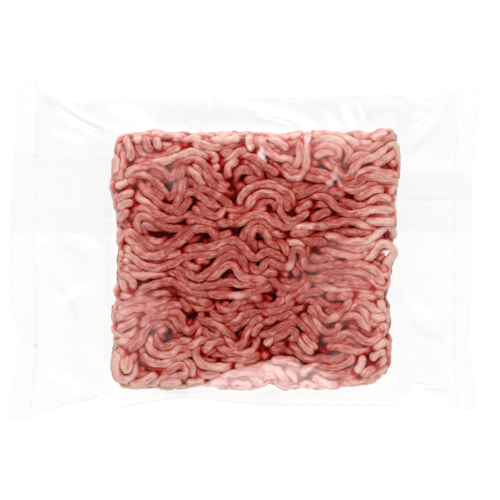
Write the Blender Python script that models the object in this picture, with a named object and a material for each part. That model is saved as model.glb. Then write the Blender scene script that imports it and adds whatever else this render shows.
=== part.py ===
"""A flow-wrapped pack of minced meat: one closed solid, out to the film.

The clear bag is a pillow: one sheet of film over the top of a block of mince, one under it, folded
edges along both long sides and a crimped, ribbed seal across each end. A flat fin, the film's own
lengthwise seam, lies folded against the underside. The block is flat below, where the pack rests.

Axes: X runs along the pack from seal to seal, Y across it and Z up. The origin is on the floor, under
the middle of the bag's outline. Metres throughout.
"""

import math

import bmesh
import bpy

# ---- Driving dimensions ----
MM = 0.001

BAG_HALF_LENGTH = 118 * MM
SEAL_THICKNESS = 0.9 * MM
RIB_HEIGHT = 0.28 * MM
RIBS_PER_SEAL = 5
STATIONS_PER_RIB = 4

SEAL_HEIGHT = 10.5 * MM
SEAL_WAVE = 1.6 * MM
WAVE_ACROSS = 17 * MM
WAVE_ALONG = 21 * MM
WAVE_ALONG_SHARE = 0.4
WAVE_PHASE = 1.2
SIDE_FOLD_HEIGHT = 6.5 * MM
SIDE_FOLD_THICKNESS = 1.8 * MM
SIDE_FOLD_HALF_LENGTH = 60 * MM
RISE_TO_SEAL = 45 * MM
CALM_SHARE = 0.4

BLOCK_LENGTH = 145 * MM
BLOCK_WIDTH = 128 * MM
BLOCK_HEIGHT = 32 * MM
BLOCK_CENTRE_X = 6.5 * MM
BLOCK_CENTRE_Y = -4.5 * MM
BLOCK_CORNER = 16 * MM
SHOULDER_RADIUS = 11 * MM
SHOULDER_DROP = 5 * MM
LUMP_HEIGHT = 0.7 * MM
LUMP_LENGTH = 8.1 * MM
LUMP_WIDTH = 7.1 * MM
LUMP_SLANT = 4.6 * MM
SHOULDER_CALM = 0.6

FOOT_INSET = 5 * MM
TENT_INSET = 2.5 * MM
TENT_FULLNESS = 1.35
BELLY_FULLNESS = 1.7
CREASE_HEIGHT = 1.5 * MM
CREASES_PER_WING = 5
CREASE_FAN = 0.3
CREASE_START = 61 * MM
CREASE_FADE = 20 * MM
CREASE_PHASE = 0.9
CREASE_BELOW = 0.5
WING_HALF_WIDTH = 85 * MM

FIN_ROOT_Y = 8.5 * MM
FIN_FREE_Y_LEFT = 49 * MM
FIN_FREE_Y_RIGHT = 38 * MM
FIN_THICKNESS = 1.0 * MM

BODY_STATIONS = 36
COLUMNS = 32
COLUMN_CROWDING = 0.08
PLAN_ROUNDS = 4
CREASE_ANGLE = 40

# Bag outline: (x, y) of the two folded edges, and (y, x) of each seal's inner and outer line.
TOP_EDGE = ((-118, 85), (-104, 85), (-84, 75.5), (0, 76.5), (88, 78.5), (107, 82.5), (118, 82.5))
BOTTOM_EDGE = ((-118, -85), (-100, -84.5), (-26, -74.5), (12, -78), (96, -78.5), (118, -80.5))
LEFT_OUTER = ((-85, -118), (-47, -113.5), (-20, -117.2), (25, -117.2), (85, -113))
LEFT_INNER = ((-85, -107), (-48, -103.8), (8, -105), (85, -104))
RIGHT_INNER = ((-82, 107.5), (-45, 106), (8, 106), (82, 108))
RIGHT_OUTER = ((-82, 117.6), (-45, 114.2), (20, 115.5), (82, 118))

FILM_COLOUR = (0.80, 0.50, 0.47, 1.0)
FILM_ROUGHNESS = 0.22


def clear_scene():
    for thing in list(bpy.data.objects):
        bpy.data.objects.remove(thing, do_unlink=True)


def eased(t):
    """0 to 1 with a level start and finish."""
    t = min(max(t, 0.0), 1.0)
    return t * t * (3 - 2 * t)


def along(line, at):
    """The height of a line, given by a few points in millimetres, at a place in metres."""
    at = at / MM
    if at <= line[0][0]:
        return line[0][1] * MM
    for (start, low), (end, high) in zip(line, line[1:]):
        if at <= end:
            return (low + (high - low) * eased((at - start) / (end - start))) * MM
    return line[-1][1] * MM


# ---- Plan: where a station and a column meet ----
def stations():
    """(kind, share) from the left seal's outer line to the right seal's: share runs 0 to 1 in each."""
    count = RIBS_PER_SEAL * STATIONS_PER_RIB
    left = [("left seal", i / count) for i in range(count)]
    body = [("body", i / BODY_STATIONS) for i in range(BODY_STATIONS)]
    right = [("right seal", i / count) for i in range(count + 1)]
    return left + body + right


def station_x(kind, share, y):
    """X of a station at this Y, so that the stations follow the seals' bent lines."""
    if kind == "left seal":
        start, end = along(LEFT_OUTER, y), along(LEFT_INNER, y)
    elif kind == "body":
        start, end = along(LEFT_INNER, y), along(RIGHT_INNER, y)
    else:
        start, end = along(RIGHT_INNER, y), along(RIGHT_OUTER, y)
    return start + (end - start) * share


def column_share(index):
    """0 to 1 across the bag, with columns closer together at the folded edges."""
    t = index / COLUMNS
    return t - COLUMN_CROWDING * math.sin(2 * math.pi * t)


def plan_point(kind, share, across):
    """(x, y): the edges depend on X and the seals on Y, so a few rounds settle both."""
    y = (across - 0.5) * 2 * WING_HALF_WIDTH
    for _ in range(PLAN_ROUNDS):
        x = station_x(kind, share, y)
        low, high = along(BOTTOM_EDGE, x), along(TOP_EDGE, x)
        y = low + (high - low) * across
    return station_x(kind, share, y), y


# ---- Heights ----
def outside_block(x, y):
    """Distance to the block's rounded outline in plan: negative inside it."""
    over_x = abs(x - BLOCK_CENTRE_X) - BLOCK_LENGTH / 2 + BLOCK_CORNER
    over_y = abs(y - BLOCK_CENTRE_Y) - BLOCK_WIDTH / 2 + BLOCK_CORNER
    corner = math.hypot(max(over_x, 0.0), max(over_y, 0.0))
    return corner + min(max(over_x, over_y), 0.0) - BLOCK_CORNER


def inside_bag(x, y):
    """Distance to the nearest seal line or folded edge."""
    from_seal = min(x - along(LEFT_INNER, y), along(RIGHT_INNER, y) - x)
    from_fold = min(along(TOP_EDGE, x) - y, y - along(BOTTOM_EDGE, x))
    return max(min(from_seal, from_fold), 0.0)


def edge_height(x, y):
    """Middle height of the bag's rim: the seals stand higher than the folded edges, and both wave."""
    towards_end = eased((abs(x) - SIDE_FOLD_HALF_LENGTH) / RISE_TO_SEAL)
    level = SIDE_FOLD_HEIGHT + (SEAL_HEIGHT - SIDE_FOLD_HEIGHT) * towards_end
    wave = math.sin(y / WAVE_ACROSS + WAVE_PHASE) + WAVE_ALONG_SHARE * math.sin(x / WAVE_ALONG)
    return level + SEAL_WAVE * wave * (CALM_SHARE + (1 - CALM_SHARE) * towards_end)


def way_out(x, y):
    """0 just inside the block's outline, 1 at the rim of the bag."""
    outside = max(outside_block(x, y) + TENT_INSET, 0.0)
    room = outside + inside_bag(x, y)
    return outside / room if room > 0 else 1.0


def creases(x, y, out):
    """Tension folds that fan out across each wing, from the block to the seal."""
    spread = y / WING_HALF_WIDTH
    side = 1 if x > 0 else -1
    fan = math.sin(math.pi * CREASES_PER_WING * spread * (1 - CREASE_FAN * out) + CREASE_PHASE * side)
    towards_end = eased((abs(x - BLOCK_CENTRE_X) - CREASE_START) / CREASE_FADE)
    half_way = 4 * out * (1 - out)
    return CREASE_HEIGHT * fan * half_way * towards_end


def lumps(x, y):
    """Soft unevenness of the mince under the film."""
    crossed = math.sin(x / LUMP_LENGTH + 0.6) * math.cos(y / LUMP_WIDTH - 0.4)
    return LUMP_HEIGHT * (crossed + 0.5 * math.sin((x + y) / LUMP_SLANT))


def body_heights(x, y):
    """(top, bottom) of the bag between its seals."""
    out = way_out(x, y)
    rim = edge_height(x, y)
    half_rim = SIDE_FOLD_THICKNESS / 2
    shoulder = eased(1 + outside_block(x, y) / SHOULDER_RADIUS)
    crown = BLOCK_HEIGHT - SHOULDER_DROP * shoulder
    tent = (1 - out) ** TENT_FULLNESS
    top = rim + half_rim + (crown - rim - half_rim) * tent
    top += creases(x, y, out) + lumps(x, y) * (1 - out) * (1 - SHOULDER_CALM * shoulder)

    rise = max(outside_block(x, y) + FOOT_INSET, 0.0)
    share = rise / (rise + inside_bag(x, y)) if rise > 0 else 0.0
    bottom = (rim - half_rim) * share**BELLY_FULLNESS + CREASE_BELOW * creases(x, y, share)
    bottom -= FIN_THICKNESS * on_fin(x, y)
    return top, max(bottom, 0.0)


def on_fin(x, y):
    """1 on the fin folded against the underside, 0 away from it."""
    across = (x + BAG_HALF_LENGTH) / (2 * BAG_HALF_LENGTH)
    free = FIN_FREE_Y_LEFT + (FIN_FREE_Y_RIGHT - FIN_FREE_Y_LEFT) * across
    return 1.0 if FIN_ROOT_Y < y < free else 0.0


def seal_heights(x, y, ribs_in):
    """(top, bottom) of a crimped strip: both faces follow the same ribs."""
    rib = RIB_HEIGHT * math.sin(2 * math.pi * ribs_in)
    middle = edge_height(x, y) + rib
    fin = FIN_THICKNESS * on_fin(x, y)
    return middle + SEAL_THICKNESS / 2, middle - SEAL_THICKNESS / 2 - fin


def heights(kind, share, x, y):
    """(top, bottom) anywhere on the bag. The body thins into the seals over its last stations."""
    if kind == "left seal":
        return seal_heights(x, y, (1 - share) * RIBS_PER_SEAL)
    if kind == "right seal":
        return seal_heights(x, y, share * RIBS_PER_SEAL)
    top, bottom = body_heights(x, y)
    if share == 0:
        return seal_heights(x, y, 0)
    return top, min(bottom, top - SEAL_THICKNESS)


# ---- The solid ----
def sheet(form, which):
    """One face of the bag as a grid of corners: a flat grid whose points are moved to their places."""
    rows = stations()
    made = bmesh.ops.create_grid(form, x_segments=len(rows) - 1, y_segments=COLUMNS, size=0.5)
    for corner in made["verts"]:
        row = round((corner.co.x + 0.5) * (len(rows) - 1))
        column = round((corner.co.y + 0.5) * COLUMNS)
        kind, share = rows[row]
        x, y = plan_point(kind, share, column_share(column))
        corner.co = (x, y, heights(kind, share, x, y)[which])
    return made["verts"]


def rim_edges(form, corners):
    """The open edges of one sheet."""
    mine = set(corners)
    return [edge for edge in form.edges if edge.is_boundary and edge.verts[0] in mine]


def film_bag():
    """Top and bottom sheets bridged round their rims into one closed body."""
    form = bmesh.new()
    top = sheet(form, 0)
    bottom = sheet(form, 1)
    rims = rim_edges(form, top) + rim_edges(form, bottom)
    bmesh.ops.bridge_loops(form, edges=rims)
    bmesh.ops.recalc_face_normals(form, faces=form.faces)
    centre_on_floor(form)
    mesh = bpy.data.meshes.new("film_bag")
    form.to_mesh(mesh)
    form.free()
    mesh.shade_smooth()
    mesh.set_sharp_from_angle(angle=math.radians(CREASE_ANGLE))
    return bpy.data.objects.new("film_bag", mesh)


def centre_on_floor(form):
    """Moves the outline's middle over the origin."""
    xs = [corner.co.x for corner in form.verts]
    ys = [corner.co.y for corner in form.verts]
    shift = (-(min(xs) + max(xs)) / 2, -(min(ys) + max(ys)) / 2, 0)
    bmesh.ops.translate(form, verts=form.verts, vec=shift)


def film_material():
    """Clear film with pink mince close behind it."""
    material = bpy.data.materials.new("film_over_mince")
    material.use_nodes = True
    surface = material.node_tree.nodes["Principled BSDF"]
    surface.inputs["Base Color"].default_value = FILM_COLOUR
    surface.inputs["Roughness"].default_value = FILM_ROUGHNESS
    surface.inputs["Metallic"].default_value = 0.0
    return material


def build():
    clear_scene()
    pack = bpy.data.collections.new("minced_meat_flow_pack")
    bpy.context.scene.collection.children.link(pack)
    bag = film_bag()
    bag.data.materials.append(film_material())
    pack.objects.link(bag)


build()
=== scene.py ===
# %% [markdown]
# # A flow-wrapped pack of minced meat
# The real object is a flat block of raw mince, pushed out of a grinder plate in soft strands and sealed
# in a clear pillow bag of packing film. The film is thin and glossy, so nearly all of what the eye gets
# is the mince behind it, and the film shows as folds, ribbed seals and a few soft glare patches.
#
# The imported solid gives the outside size. It is loaded first, and everything below is made in its frame.

import math

import bpy
import numpy as np
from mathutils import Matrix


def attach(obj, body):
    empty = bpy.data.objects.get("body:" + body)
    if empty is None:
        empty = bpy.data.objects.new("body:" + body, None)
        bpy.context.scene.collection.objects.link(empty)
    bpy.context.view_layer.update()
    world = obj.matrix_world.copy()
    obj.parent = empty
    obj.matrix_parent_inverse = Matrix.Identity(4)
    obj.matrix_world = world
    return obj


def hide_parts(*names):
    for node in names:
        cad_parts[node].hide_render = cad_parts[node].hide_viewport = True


MM = 0.001

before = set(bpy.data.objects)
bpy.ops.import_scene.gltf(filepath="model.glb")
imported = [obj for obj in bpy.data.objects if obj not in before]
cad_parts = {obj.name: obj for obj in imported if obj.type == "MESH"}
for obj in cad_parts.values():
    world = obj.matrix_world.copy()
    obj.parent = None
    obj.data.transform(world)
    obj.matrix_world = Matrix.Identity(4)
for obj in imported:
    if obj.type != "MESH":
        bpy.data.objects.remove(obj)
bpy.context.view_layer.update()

# %% [markdown]
# ## Where the strands of mince lie
# Mince leaves a grinder plate as round strands as thick as its holes, here about 4 mm. They are laid
# down in layers, side by side, and fold back on themselves in waves and hairpin turns. A heap like this
# could be dropped as a rope simulation, but then no strand would lie where it should. So the strands of
# the top layer are drawn one by one, each as a few points in millimetres from the middle of the pack,
# after a number for how far it is lifted or sunk. Every other strand is combed in alongside them.

# %% The top strands: lift, then x, y, x, y and so on, all in mm
TOP_STRANDS = (
    # left, far side
    (-3, -54, 57, -59, 57.5, -62, 53, -62.5, 47),
    (0, -51, 58, -53, 53, -50, 48.5, -44, 47, -37, 48),
    (-1, -60, 36, -57.5, 41, -53.5, 45.5),
    (0.5, -48, 44.5, -41, 45, -34, 46.8, -26, 49.2, -20, 48.3, -16, 45.5),
    (0, -57.5, 38, -54, 41, -47, 42.3, -41, 40.5, -37, 36.2, -34.3, 37.5, -31.7, 43),
    (0, -57, 36, -52, 38.2, -47, 37, -42.5, 32.5, -38, 27, -35.5, 26.5, -33.2, 30, -32.3, 36),
    (0.5, -51.5, 34, -47.5, 29.5, -42.5, 24.8, -37.5, 20.8, -35, 21, -32.5, 25, -31, 31, -30.3, 35),
    (0, -50.5, 31, -52, 28, -50.5, 25.5, -46, 22.8, -41, 19.8),
    (-1, -62.5, 27, -58, 31, -54, 34.3, -52, 35),
    (-2, -64, 31, -61, 34, -60, 37),
    (0, -60.5, 22, -58.5, 25.3, -54, 25, -49.5, 22, -45, 19.5),
    (-2, -48, 58, -47.5, 51),
    (-1.5, -44.5, 58, -44.2, 51),
    (-1.5, -41.3, 58, -41, 51),
    (-2, -38, 58, -38, 51),
    (0, -35.5, 58, -33, 53.5, -31, 51.5, -27, 51.8, -24.8, 54.5),
    (0.5, -22.5, 57, -21, 53, -16.5, 51.5, -12.5, 52, -8, 54.3),
    (0, -30, 44.3, -26, 46, -21, 44.3, -17.5, 41, -13.5, 37.5, -8, 33.5),
    (-0.5, -28.5, 42, -24.5, 38.8, -21, 34.5, -18, 31.5),
    (0.5, -20, 41, -16, 35, -12, 31.3, -7.5, 30),
    (-0.5, -30, 34.5, -26, 34.5, -21.5, 31.5, -15, 28.8, -9.5, 24.5, -5.5, 20.5),
    (0, -30, 23, -28.8, 27, -25.5, 29.3, -21.5, 27.5, -18, 24, -13, 22.5, -10, 21),
    # middle, far side
    (0, -12, 46.5, -10.5, 50, -5.5, 52.8, -0.5, 52.3),
    (0, -10.5, 44.3, -6, 46.8, -2, 49.2, 2.5, 49.8),
    (-0.5, -6.3, 35, -5.3, 40, -2, 44, 3, 44, 7, 40.5, 9.2, 35.5),
    (0, -4, 46.8, 3, 47.3, 7.8, 44.3, 11, 41.5),
    (-1, -4, 36, -2.2, 39.7, 1.8, 40.3, 5.2, 36.5),
    (0.5, -2, 30, -1.3, 32.5, 3, 33.3),
    (0.5, -0.8, 22, 0.3, 27.5, 5, 31.5, 11, 33, 17, 32, 22, 28.8, 24.3, 25, 24.5, 20.5),
    (0.3, 1.5, 20.5, 4.3, 25.3, 9, 28.6, 14, 28.6, 18.5, 26, 20.7, 21.5),
    (0, 5.5, 20.5, 8.3, 23.5, 12, 25, 15.6, 23.6, 17, 20),
    (-1.5, 11, 20.5, 12.5, 21.7),
    (0, 11.8, 42, 13.8, 37.7, 18, 34.2, 25.5, 30.8),
    (0, 31.3, 57, 31.8, 48, 31, 41, 28, 36.5, 23.5, 36.5, 19, 40.5, 14.5, 45.3),
    (-0.5, 27, 58, 28.5, 53, 28.3, 47, 26, 42.5, 22.5, 43),
    (0.5, 12, 53, 15, 49.8, 19.5, 48.3, 24, 48.8, 26, 51),
    (0, 13, 56, 17.5, 54, 20, 52),
    (-1, 16.5, 58, 21, 55.5, 24, 53),
    (-1, 4, 57, 3.8, 52.5, 5.5, 49.5),
    (-0.5, 7.5, 57, 7, 50.5, 8.8, 46.5, 11, 44),
    (-1, -18, 58, -15, 55.5),
    (-1, -3, 57.5, -1, 55),
    # right, far side
    (0, 33, 51.5, 37.5, 54.8, 44, 55.5, 50.3, 52.8, 53.3, 48.5, 52, 44),
    (0.3, 34.3, 48, 38, 51.5, 43, 52.3, 47, 50.3, 47.5, 47, 44.5, 45.5),
    (0, 37, 47, 41, 48.8),
    (0.5, 38, 45.5, 42, 44.5, 46, 41, 50, 37.3, 53, 37, 56, 41, 59.3, 45.3, 64.5, 46.5, 70, 50.3, 74.5,
     53, 77, 49.5, 77, 44, 75.8, 40.3),
    (-1, 36, 57.7, 43, 58, 49, 56.8, 55, 54, 60, 52),
    (0, 56, 50.7, 62, 50, 67, 52.3, 71, 55.5, 76.3, 57.3),
    (-2, 53, 58, 57, 58.2, 61, 56.5, 64.5, 54),
    (-1, 68, 56.5, 72.5, 59.5, 76.5, 60),
    (0.5, 69.3, 44.8, 71.3, 46.6, 73, 48.5),
    (-1, 60.5, 42.3, 65.5, 42, 70.5, 41, 74.3, 42.8),
    (0, 54, 33.3, 58, 38.3, 63, 40.5, 70, 38.8, 77.5, 37.5),
    (0, 49.5, 35, 53.5, 33, 58, 34.3, 62, 37, 70, 36, 77.8, 34.5),
    (0, 45.5, 32.5, 50.5, 30.5, 56, 29.8, 60, 31.5, 64, 34, 70, 32.7, 77.5, 32),
    (-1.5, 60.5, 29, 64.5, 31, 68.5, 30.3),
    (-0.5, 55, 26.8, 61, 26.3, 67, 27.3, 71.5, 28.7),
    (0, 44, 28.3, 49, 26.3, 53, 23.5, 58, 22, 62, 22.2),
    (-0.5, 63.5, 23.3, 67, 24.5, 72, 23.5, 76.5, 21.5),
    (-0.5, 26, 27, 31, 29.6, 37, 31, 43.5, 30.5),
    (0.5, 28, 21, 32.5, 25, 38, 27.3, 42.5, 26, 46, 22.7, 50, 19.3, 54.5, 18.2, 60, 19.2, 66, 20.5,
     75.5, 19.8),
    (0, 32.5, 20.5, 37, 23.3, 41, 22.7, 44, 19.3),
    (-0.5, 32, 40.7, 37, 39, 42, 38, 46.5, 35.5),
    (-1.5, 31, 37, 36.5, 35.3, 42, 34.3),
    # left, middle
    (-1.5, -61.5, 14, -58.8, 17.7, -54, 20.3),
    (0, -53, 21, -47, 20.5, -42.5, 17.8, -38, 16.3, -32, 16.4, -27, 17.7, -22, 17.5),
    (0.7, -52.2, 8.5, -53, 14, -51, 17.5, -48, 17, -43, 13.9, -38, 11.6, -33, 11.3, -29.6, 12),
    (0.5, -62, 2, -60, 6.8, -56.5, 8.6, -52.8, 6, -48, 2.4, -43, 0.9, -38, 2, -33, 5.8, -29, 9.7,
     -24.5, 13.5, -20.5, 14),
    (0.5, -58, 5, -54, 1.8, -49.5, -2, -44, -2.7, -39, -1.4, -34, 2.2, -29, 6.4, -24, 10.2, -19.5,
     11.4, -15.7, 9.6, -13.3, 5),
    (0, -58, 1, -54, -2, -50, -5, -45, -5.8, -40, -4.5),
    (0, -61, -3, -57.5, -2.3, -53, -5.3, -48, -8.2, -42, -8.7, -35.5, -6.8, -29, -3.8, -23, -2.4, -16,
     -2.2, -10.5, 0, -5.5, 1.3, -1, -0.5, 1.5, -4),
    (0.5, -30.5, -0.5, -24, 1.3, -15.5, 1.6, -11, 3.7, -7.5, 5, -3.5, 4.7, 0, 1.8, 3.2, -2.2, 6.2,
     -3.7, 9.2, -2.3, 12.8, -0.6, 17, -2.3, 21.5, -5.3),
    (-0.5, -61, -6.5, -56, -7.3, -51, -9.2, -46.5, -10.7),
    (0, -60, -9.5, -55, -11.8, -50, -12.2, -44, -12, -38.5, -12.3),
    (-1, -61.5, -13, -57.5, -13.5, -55.3, -16.5, -55.5, -19.5),
    (-2, -62.5, -17, -59.5, -18, -58.5, -21),
    (0, -52, -20, -46, -18, -40, -15.8, -35, -16, -30, -18.3, -25, -20.6, -19, -21.8, -10, -22.2, -3,
     -22.7, 3.5, -21, 9, -18.8, 14, -17.6),
    (0.3, -37.5, -10, -33, -11, -30, -13.8, -27, -17, -23, -18.3, -18, -17.8, -12, -16.5, -6, -15.8, 0,
     -16.8, 6, -17, 12.5, -15.3),
    (0.7, -28.5, -7.5, -26.8, -11.3, -23.5, -14, -19.5, -12.8, -15, -9.3, -11.3, -5, -7.7, -2.4, -4,
     -2.3, -0.7, -4.5, 1, -8, 1.3, -11),
    (-2, -24, -7.5, -20, -8.5, -16, -6.2, -12.5, -3.7),
    (0, -19.5, -15.2, -15, -13.2, -11, -9.3, -7.2, -6.8, -3.8, -7.5, -2, -11, 0, -13.6, 6, -14.2, 12,
     -14),
    (0, -58, -22.8, -53, -22, -47.5, -20.5),
    (-2, -45, -19.5, -39, -18.7, -33, -20, -28.5, -23.5),
    (-2.5, -63.5, -22.5, -60, -23),
    # middle
    (0, -22, 24.5, -19, 19.3, -15, 16.8, -11, 18, -9.3, 21),
    (0.7, -14, 14.6, -9, 14, -3, 14.3, 1, 16, 5, 18.1, 9, 18.3, 13, 16, 17, 13.2, 22, 11.5, 28, 11.6,
     34, 12.2, 38, 12.2, 44, 13.4, 50, 14.4, 55.5, 14.8, 61, 12.8, 66, 12),
    (-0.3, -8, 18, -3.5, 17.7, 0.5, 19.7),
    (-0.7, -1.5, 3.5, 1.3, 8.7, 4, 13, 7.5, 14.8, 11, 13.3, 14, 10, 18, 8.3, 23, 8),
    (0.5, 3.6, 3, 4, 7.5, 6.3, 10.8, 9.6, 10.6, 11.8, 7.5, 13.3, 4.3, 16.5, 2, 20, 0, 22, -2),
    (0.7, 4, -6, 5, -9.3, 7.5, -10.7, 10, -8.5, 12, -6, 15, -5.9, 18.5, -7.9, 22, -8.8, 24.2, -5.5,
     24.5, -1, 27, 1.3, 29.8, -0.3, 30.4, -4.5, 32, -8, 36, -8.9, 42, -7.8, 50, -7.1, 57, -6.8, 62, -8,
     66, -10.8, 69.5, -13, 73.5, -10.7),
    (0.7, 12.5, -10.5, 14.5, -14, 17, -17.8, 21.5, -19, 27, -18.6, 30.3, -15.8, 30.2, -11.3),
    (0.5, 17.3, -11, 19.5, -14.3, 23.5, -16, 27.3, -14.5, 27, -11.5),
    (0, 21, -10.8, 23.8, -12.6),
    (-3, 12, -21, 15, -22.6, 18, -21),
    (0, 29, 16, 33, 18, 36, 19.5),
    (-0.5, 28.5, 8.6, 33, 7, 38, 7.7, 42.5, 10.2),
    # right, middle
    (-0.3, 61, 16.3, 67, 16.8, 73, 16.4, 77, 14.3),
    (0.7, 41, 7.7, 45.5, 7, 50, 5.5, 56, 4.4, 62, 4.6, 66, 7, 69, 10.7, 72, 12.7, 74.8, 10.3, 75.6, 5.7),
    (-2, 42, 10.8, 50, 9.8, 58, 8.6, 64.5, 8.9),
    (0.3, 38, 0.6, 44, -1.2, 50, -2.6, 56, -3.4, 60, -2.3, 63, 0.8),
    (0.5, 58.5, -4.9, 63.3, -3, 66.3, 0.5, 69.8, 3.6, 73.8, 2, 75, -2, 73, -5, 70.8, -8),
    (-0.3, 37, -11, 46, -10.7, 54, -10.3, 60, -11.2, 63.5, -13.6, 66.5, -17, 70, -18.3, 73.3, -15),
    (-0.3, 31.5, -14.3, 38, -13.8, 46, -14, 54, -14, 60, -15, 63, -17.8),
    (0.3, 37, -17.2, 42, -18.6, 48, -19.5, 56, -19.2, 62, -20, 69.5, -20.6),
    (0.3, 36.8, 3.3, 33.3, 2.4, 32, -2, 33.5, -6, 36.7, -6.2, 38, -4),
    (-1.5, 30.5, -20.3, 35, -21.3, 39, -23.5),
    (-1, 55, -22.5, 62, -22.7, 70, -23.3),
    # left, near side
    (0, -63.5, -27, -58.5, -27.3, -53, -25.3, -47, -25, -42, -25.6),
    (0, -64, -30.8, -59.5, -30.8, -55, -28.8, -50, -28.6, -45.5, -30.2, -41, -29.6, -36.5, -27.6, -32,
     -27.8, -28.3, -30),
    (0, -63.5, -34.3, -59, -34, -54, -32.4, -49.3, -32.6),
    (0.5, -61.5, -38.3, -57.3, -37.6),
    (0, -63.7, -37, -63.5, -40.5, -60, -43, -56, -41.8, -53.4, -38, -51.7, -35.7),
    (0, -64, -44, -60.8, -46.8, -57, -47.5, -53.5, -44.8, -51, -41, -49.3, -38.6),
    (0, -47.5, -37.7, -44, -36.8, -39, -35.9, -35, -37.7, -33.7, -42.5),
    (0.3, -43.3, -41, -43.6, -45, -41, -48.3, -37, -48.3, -33.5, -46.3, -29.5, -45.2, -24.5, -45.3),
    (0, -46.8, -44.5, -46, -49.5, -42, -52, -36.5, -51.7, -32, -49.3, -26.5, -48.6),
    (0.3, -50.5, -50.5, -48.5, -54, -43.5, -56.2, -38, -56.3, -33, -53.6, -27.5, -52.2),
    (-0.5, -47.3, -34, -41, -32.7, -35, -30.8, -31.3, -33, -30.3, -38, -27.3, -40.5, -23.8, -38, -21.8,
     -34),
    (0, -28.3, -25.8, -25, -28, -20.5, -29.4, -16, -28.4, -14.3, -25.5),
    (0, -40.5, -60.3, -36, -59.3, -31.5, -57, -28, -59, -28.8, -62, -34, -62.5, -40, -63.4, -45, -65.5,
     -52, -66.3),
    (-1, -60.5, -50.8, -63.7, -56, -62.8, -61.5, -59, -64.7, -55.5, -62, -54.6, -57, -54.2, -52),
    (-1, -59.3, -53, -59.5, -57.5, -57.5, -60, -57.6, -53),
    (-2.5, -61.5, -66, -57, -67.3, -51.5, -67.5),
    (-1, -52, -62.3, -47, -62.6, -43, -60.5),
    (-2.5, -37, -66.3, -31, -67, -24.5, -65.5),
    (0.5, -19.5, -45.6, -22.5, -48.3, -23.4, -53, -20.5, -57, -14.5, -58.7, -8, -58.2, -4.2, -55.3),
    (-1, -26, -57, -22.5, -61, -18, -62.3, -12, -61.3),
    (-1.5, -20, -51, -16, -50.3),
    (-1, -14.3, -52, -14.8, -55.5),
    # middle, near side
    (0, -12.5, -25, -11.7, -28.5, -8.5, -30, -5, -28.2, -1.5, -25.5, 2.5, -24.2),
    (0.3, -16, -31, -13.3, -34, -9, -34.4, -5, -32.6, -3.3, -30.3),
    (-0.5, -1, -29, 3, -27, 6.3, -27.6),
    (0.5, -10, -36.7, -6.8, -38.4, -3, -37.7, 0.5, -34.8, 5, -32),
    (0.3, -9.8, -41, -8, -45.2, -4.5, -48, -1, -47, 1.5, -43.2, 4.5, -37.5),
    (0, -15.3, -45.5, -10.5, -48.6, -5, -51.2, 1, -51.8, 5.3, -50, 6.5, -46, 6, -41.5),
    (0.3, -18.6, -35.7, -15.3, -37.8, -12.3, -41, -14, -43.3, -17.5, -42.4, -20.3, -39.5),
    (0.5, 9, -31.3, 14, -31, 19, -29.4, 23.5, -26.6, 27.3, -22.8),
    (0.5, 8.2, -35.6, 13, -35, 18, -33.3, 23, -31.6, 28, -31.7),
    (-0.7, 8.5, -39, 14, -37.8, 18, -36),
    (0.3, 8.3, -42.4, 13, -41.8, 18, -39, 22.5, -36.3, 27.3, -36.3),
    (0.3, 15, -44.4, 19.5, -42, 23.5, -39.7, 26.3, -41.5, 25.3, -44.6, 22.5, -44),
    (0.3, 9.8, -45.7, 9.7, -49, 10.3, -52.5),
    (0, 12.5, -47.5, 16.5, -46.6, 20, -47, 21, -50),
    (0, 5.3, -24.7, 9.5, -26.6, 14.5, -28, 19, -26, 22, -22),
    (0.3, 27.3, -50.5, 28.3, -54, 30.3, -56.3),
    (-1, -15, -64.5, -7, -62, 1, -60.3, 8, -61.5, 12.8, -65),
    (-2, -6, -67, -1, -64.2, 5, -64.2, 8, -67),
    (-0.7, 13, -58, 18, -57, 24, -57.8, 28.5, -61, 30, -65),
    (-1, 14.5, -60.5, 17, -64, 20, -67.5),
    (-1.5, 20.5, -61.5, 24, -63, 26, -67),
    (-1, 0, -56.8, 6, -57.3, 10, -56.3),
    # right, near side
    (0, 28.5, -28, 31, -25.2, 34.5, -25, 37, -28, 38.7, -32, 42, -34.3, 46, -33, 49, -30.5, 52.5, -27,
     52.8, -23.3),
    (0.3, 31.5, -30, 35, -34, 38.5, -38.8, 42, -41, 46, -40.3, 48, -36.3),
    (0, 39, -44, 43.5, -45.2, 48, -43.6, 51.5, -41.3, 55, -41.7, 59, -44.4, 63.5, -45.7, 67.5, -43.5,
     70.3, -40.5),
    (0, 34.3, -22, 38, -24.5, 42, -27, 47, -27.8, 50, -26),
    (0, 56, -25.6, 60, -25.8, 64, -28.5, 67, -31, 72, -30.4),
    (0.3, 55.5, -30, 59, -29.3, 61.5, -32, 62.7, -35.8, 65.5, -36.8, 70, -33.7),
    (0.5, 52, -36, 55, -34.8, 58.5, -37.4, 60.9, -41, 65, -41.4, 69.5, -38.3, 73, -37.2),
    (0, 43, -48, 47.5, -47.7, 52, -49.3, 57, -50.6, 61.5, -50, 65, -47.6, 68.5, -46.4),
    (0.5, 37.5, -47.7, 40.5, -50.3, 43, -51.2),
    (0.5, 30.5, -35.5, 33.5, -37.5, 35.3, -40),
    (0.5, 30.8, -40.2, 33, -42.5, 35.5, -44.8),
    (0.5, 31.5, -45.4, 33.8, -48.4),
    (0.5, 33.5, -51.5, 37, -53.7, 40.3, -55.7),
    (0, 36, -57.5, 41, -58.3, 47, -57.7, 52, -56, 54.3, -53, 52.5, -51),
    (-0.3, 38, -61.5, 46.5, -61.7, 53, -60.3, 56.6, -57, 57, -53.5),
    (-0.5, 59, -58, 62.5, -56, 67, -54.8, 72, -55.2),
    (-0.7, 58.5, -62, 63.5, -61.3, 68, -59, 72, -57.8),
    (-1.5, 72.3, -42, 72.5, -47, 72, -52),
    (-1.5, 31.5, -59, 36, -62.5, 36.5, -66),
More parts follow.
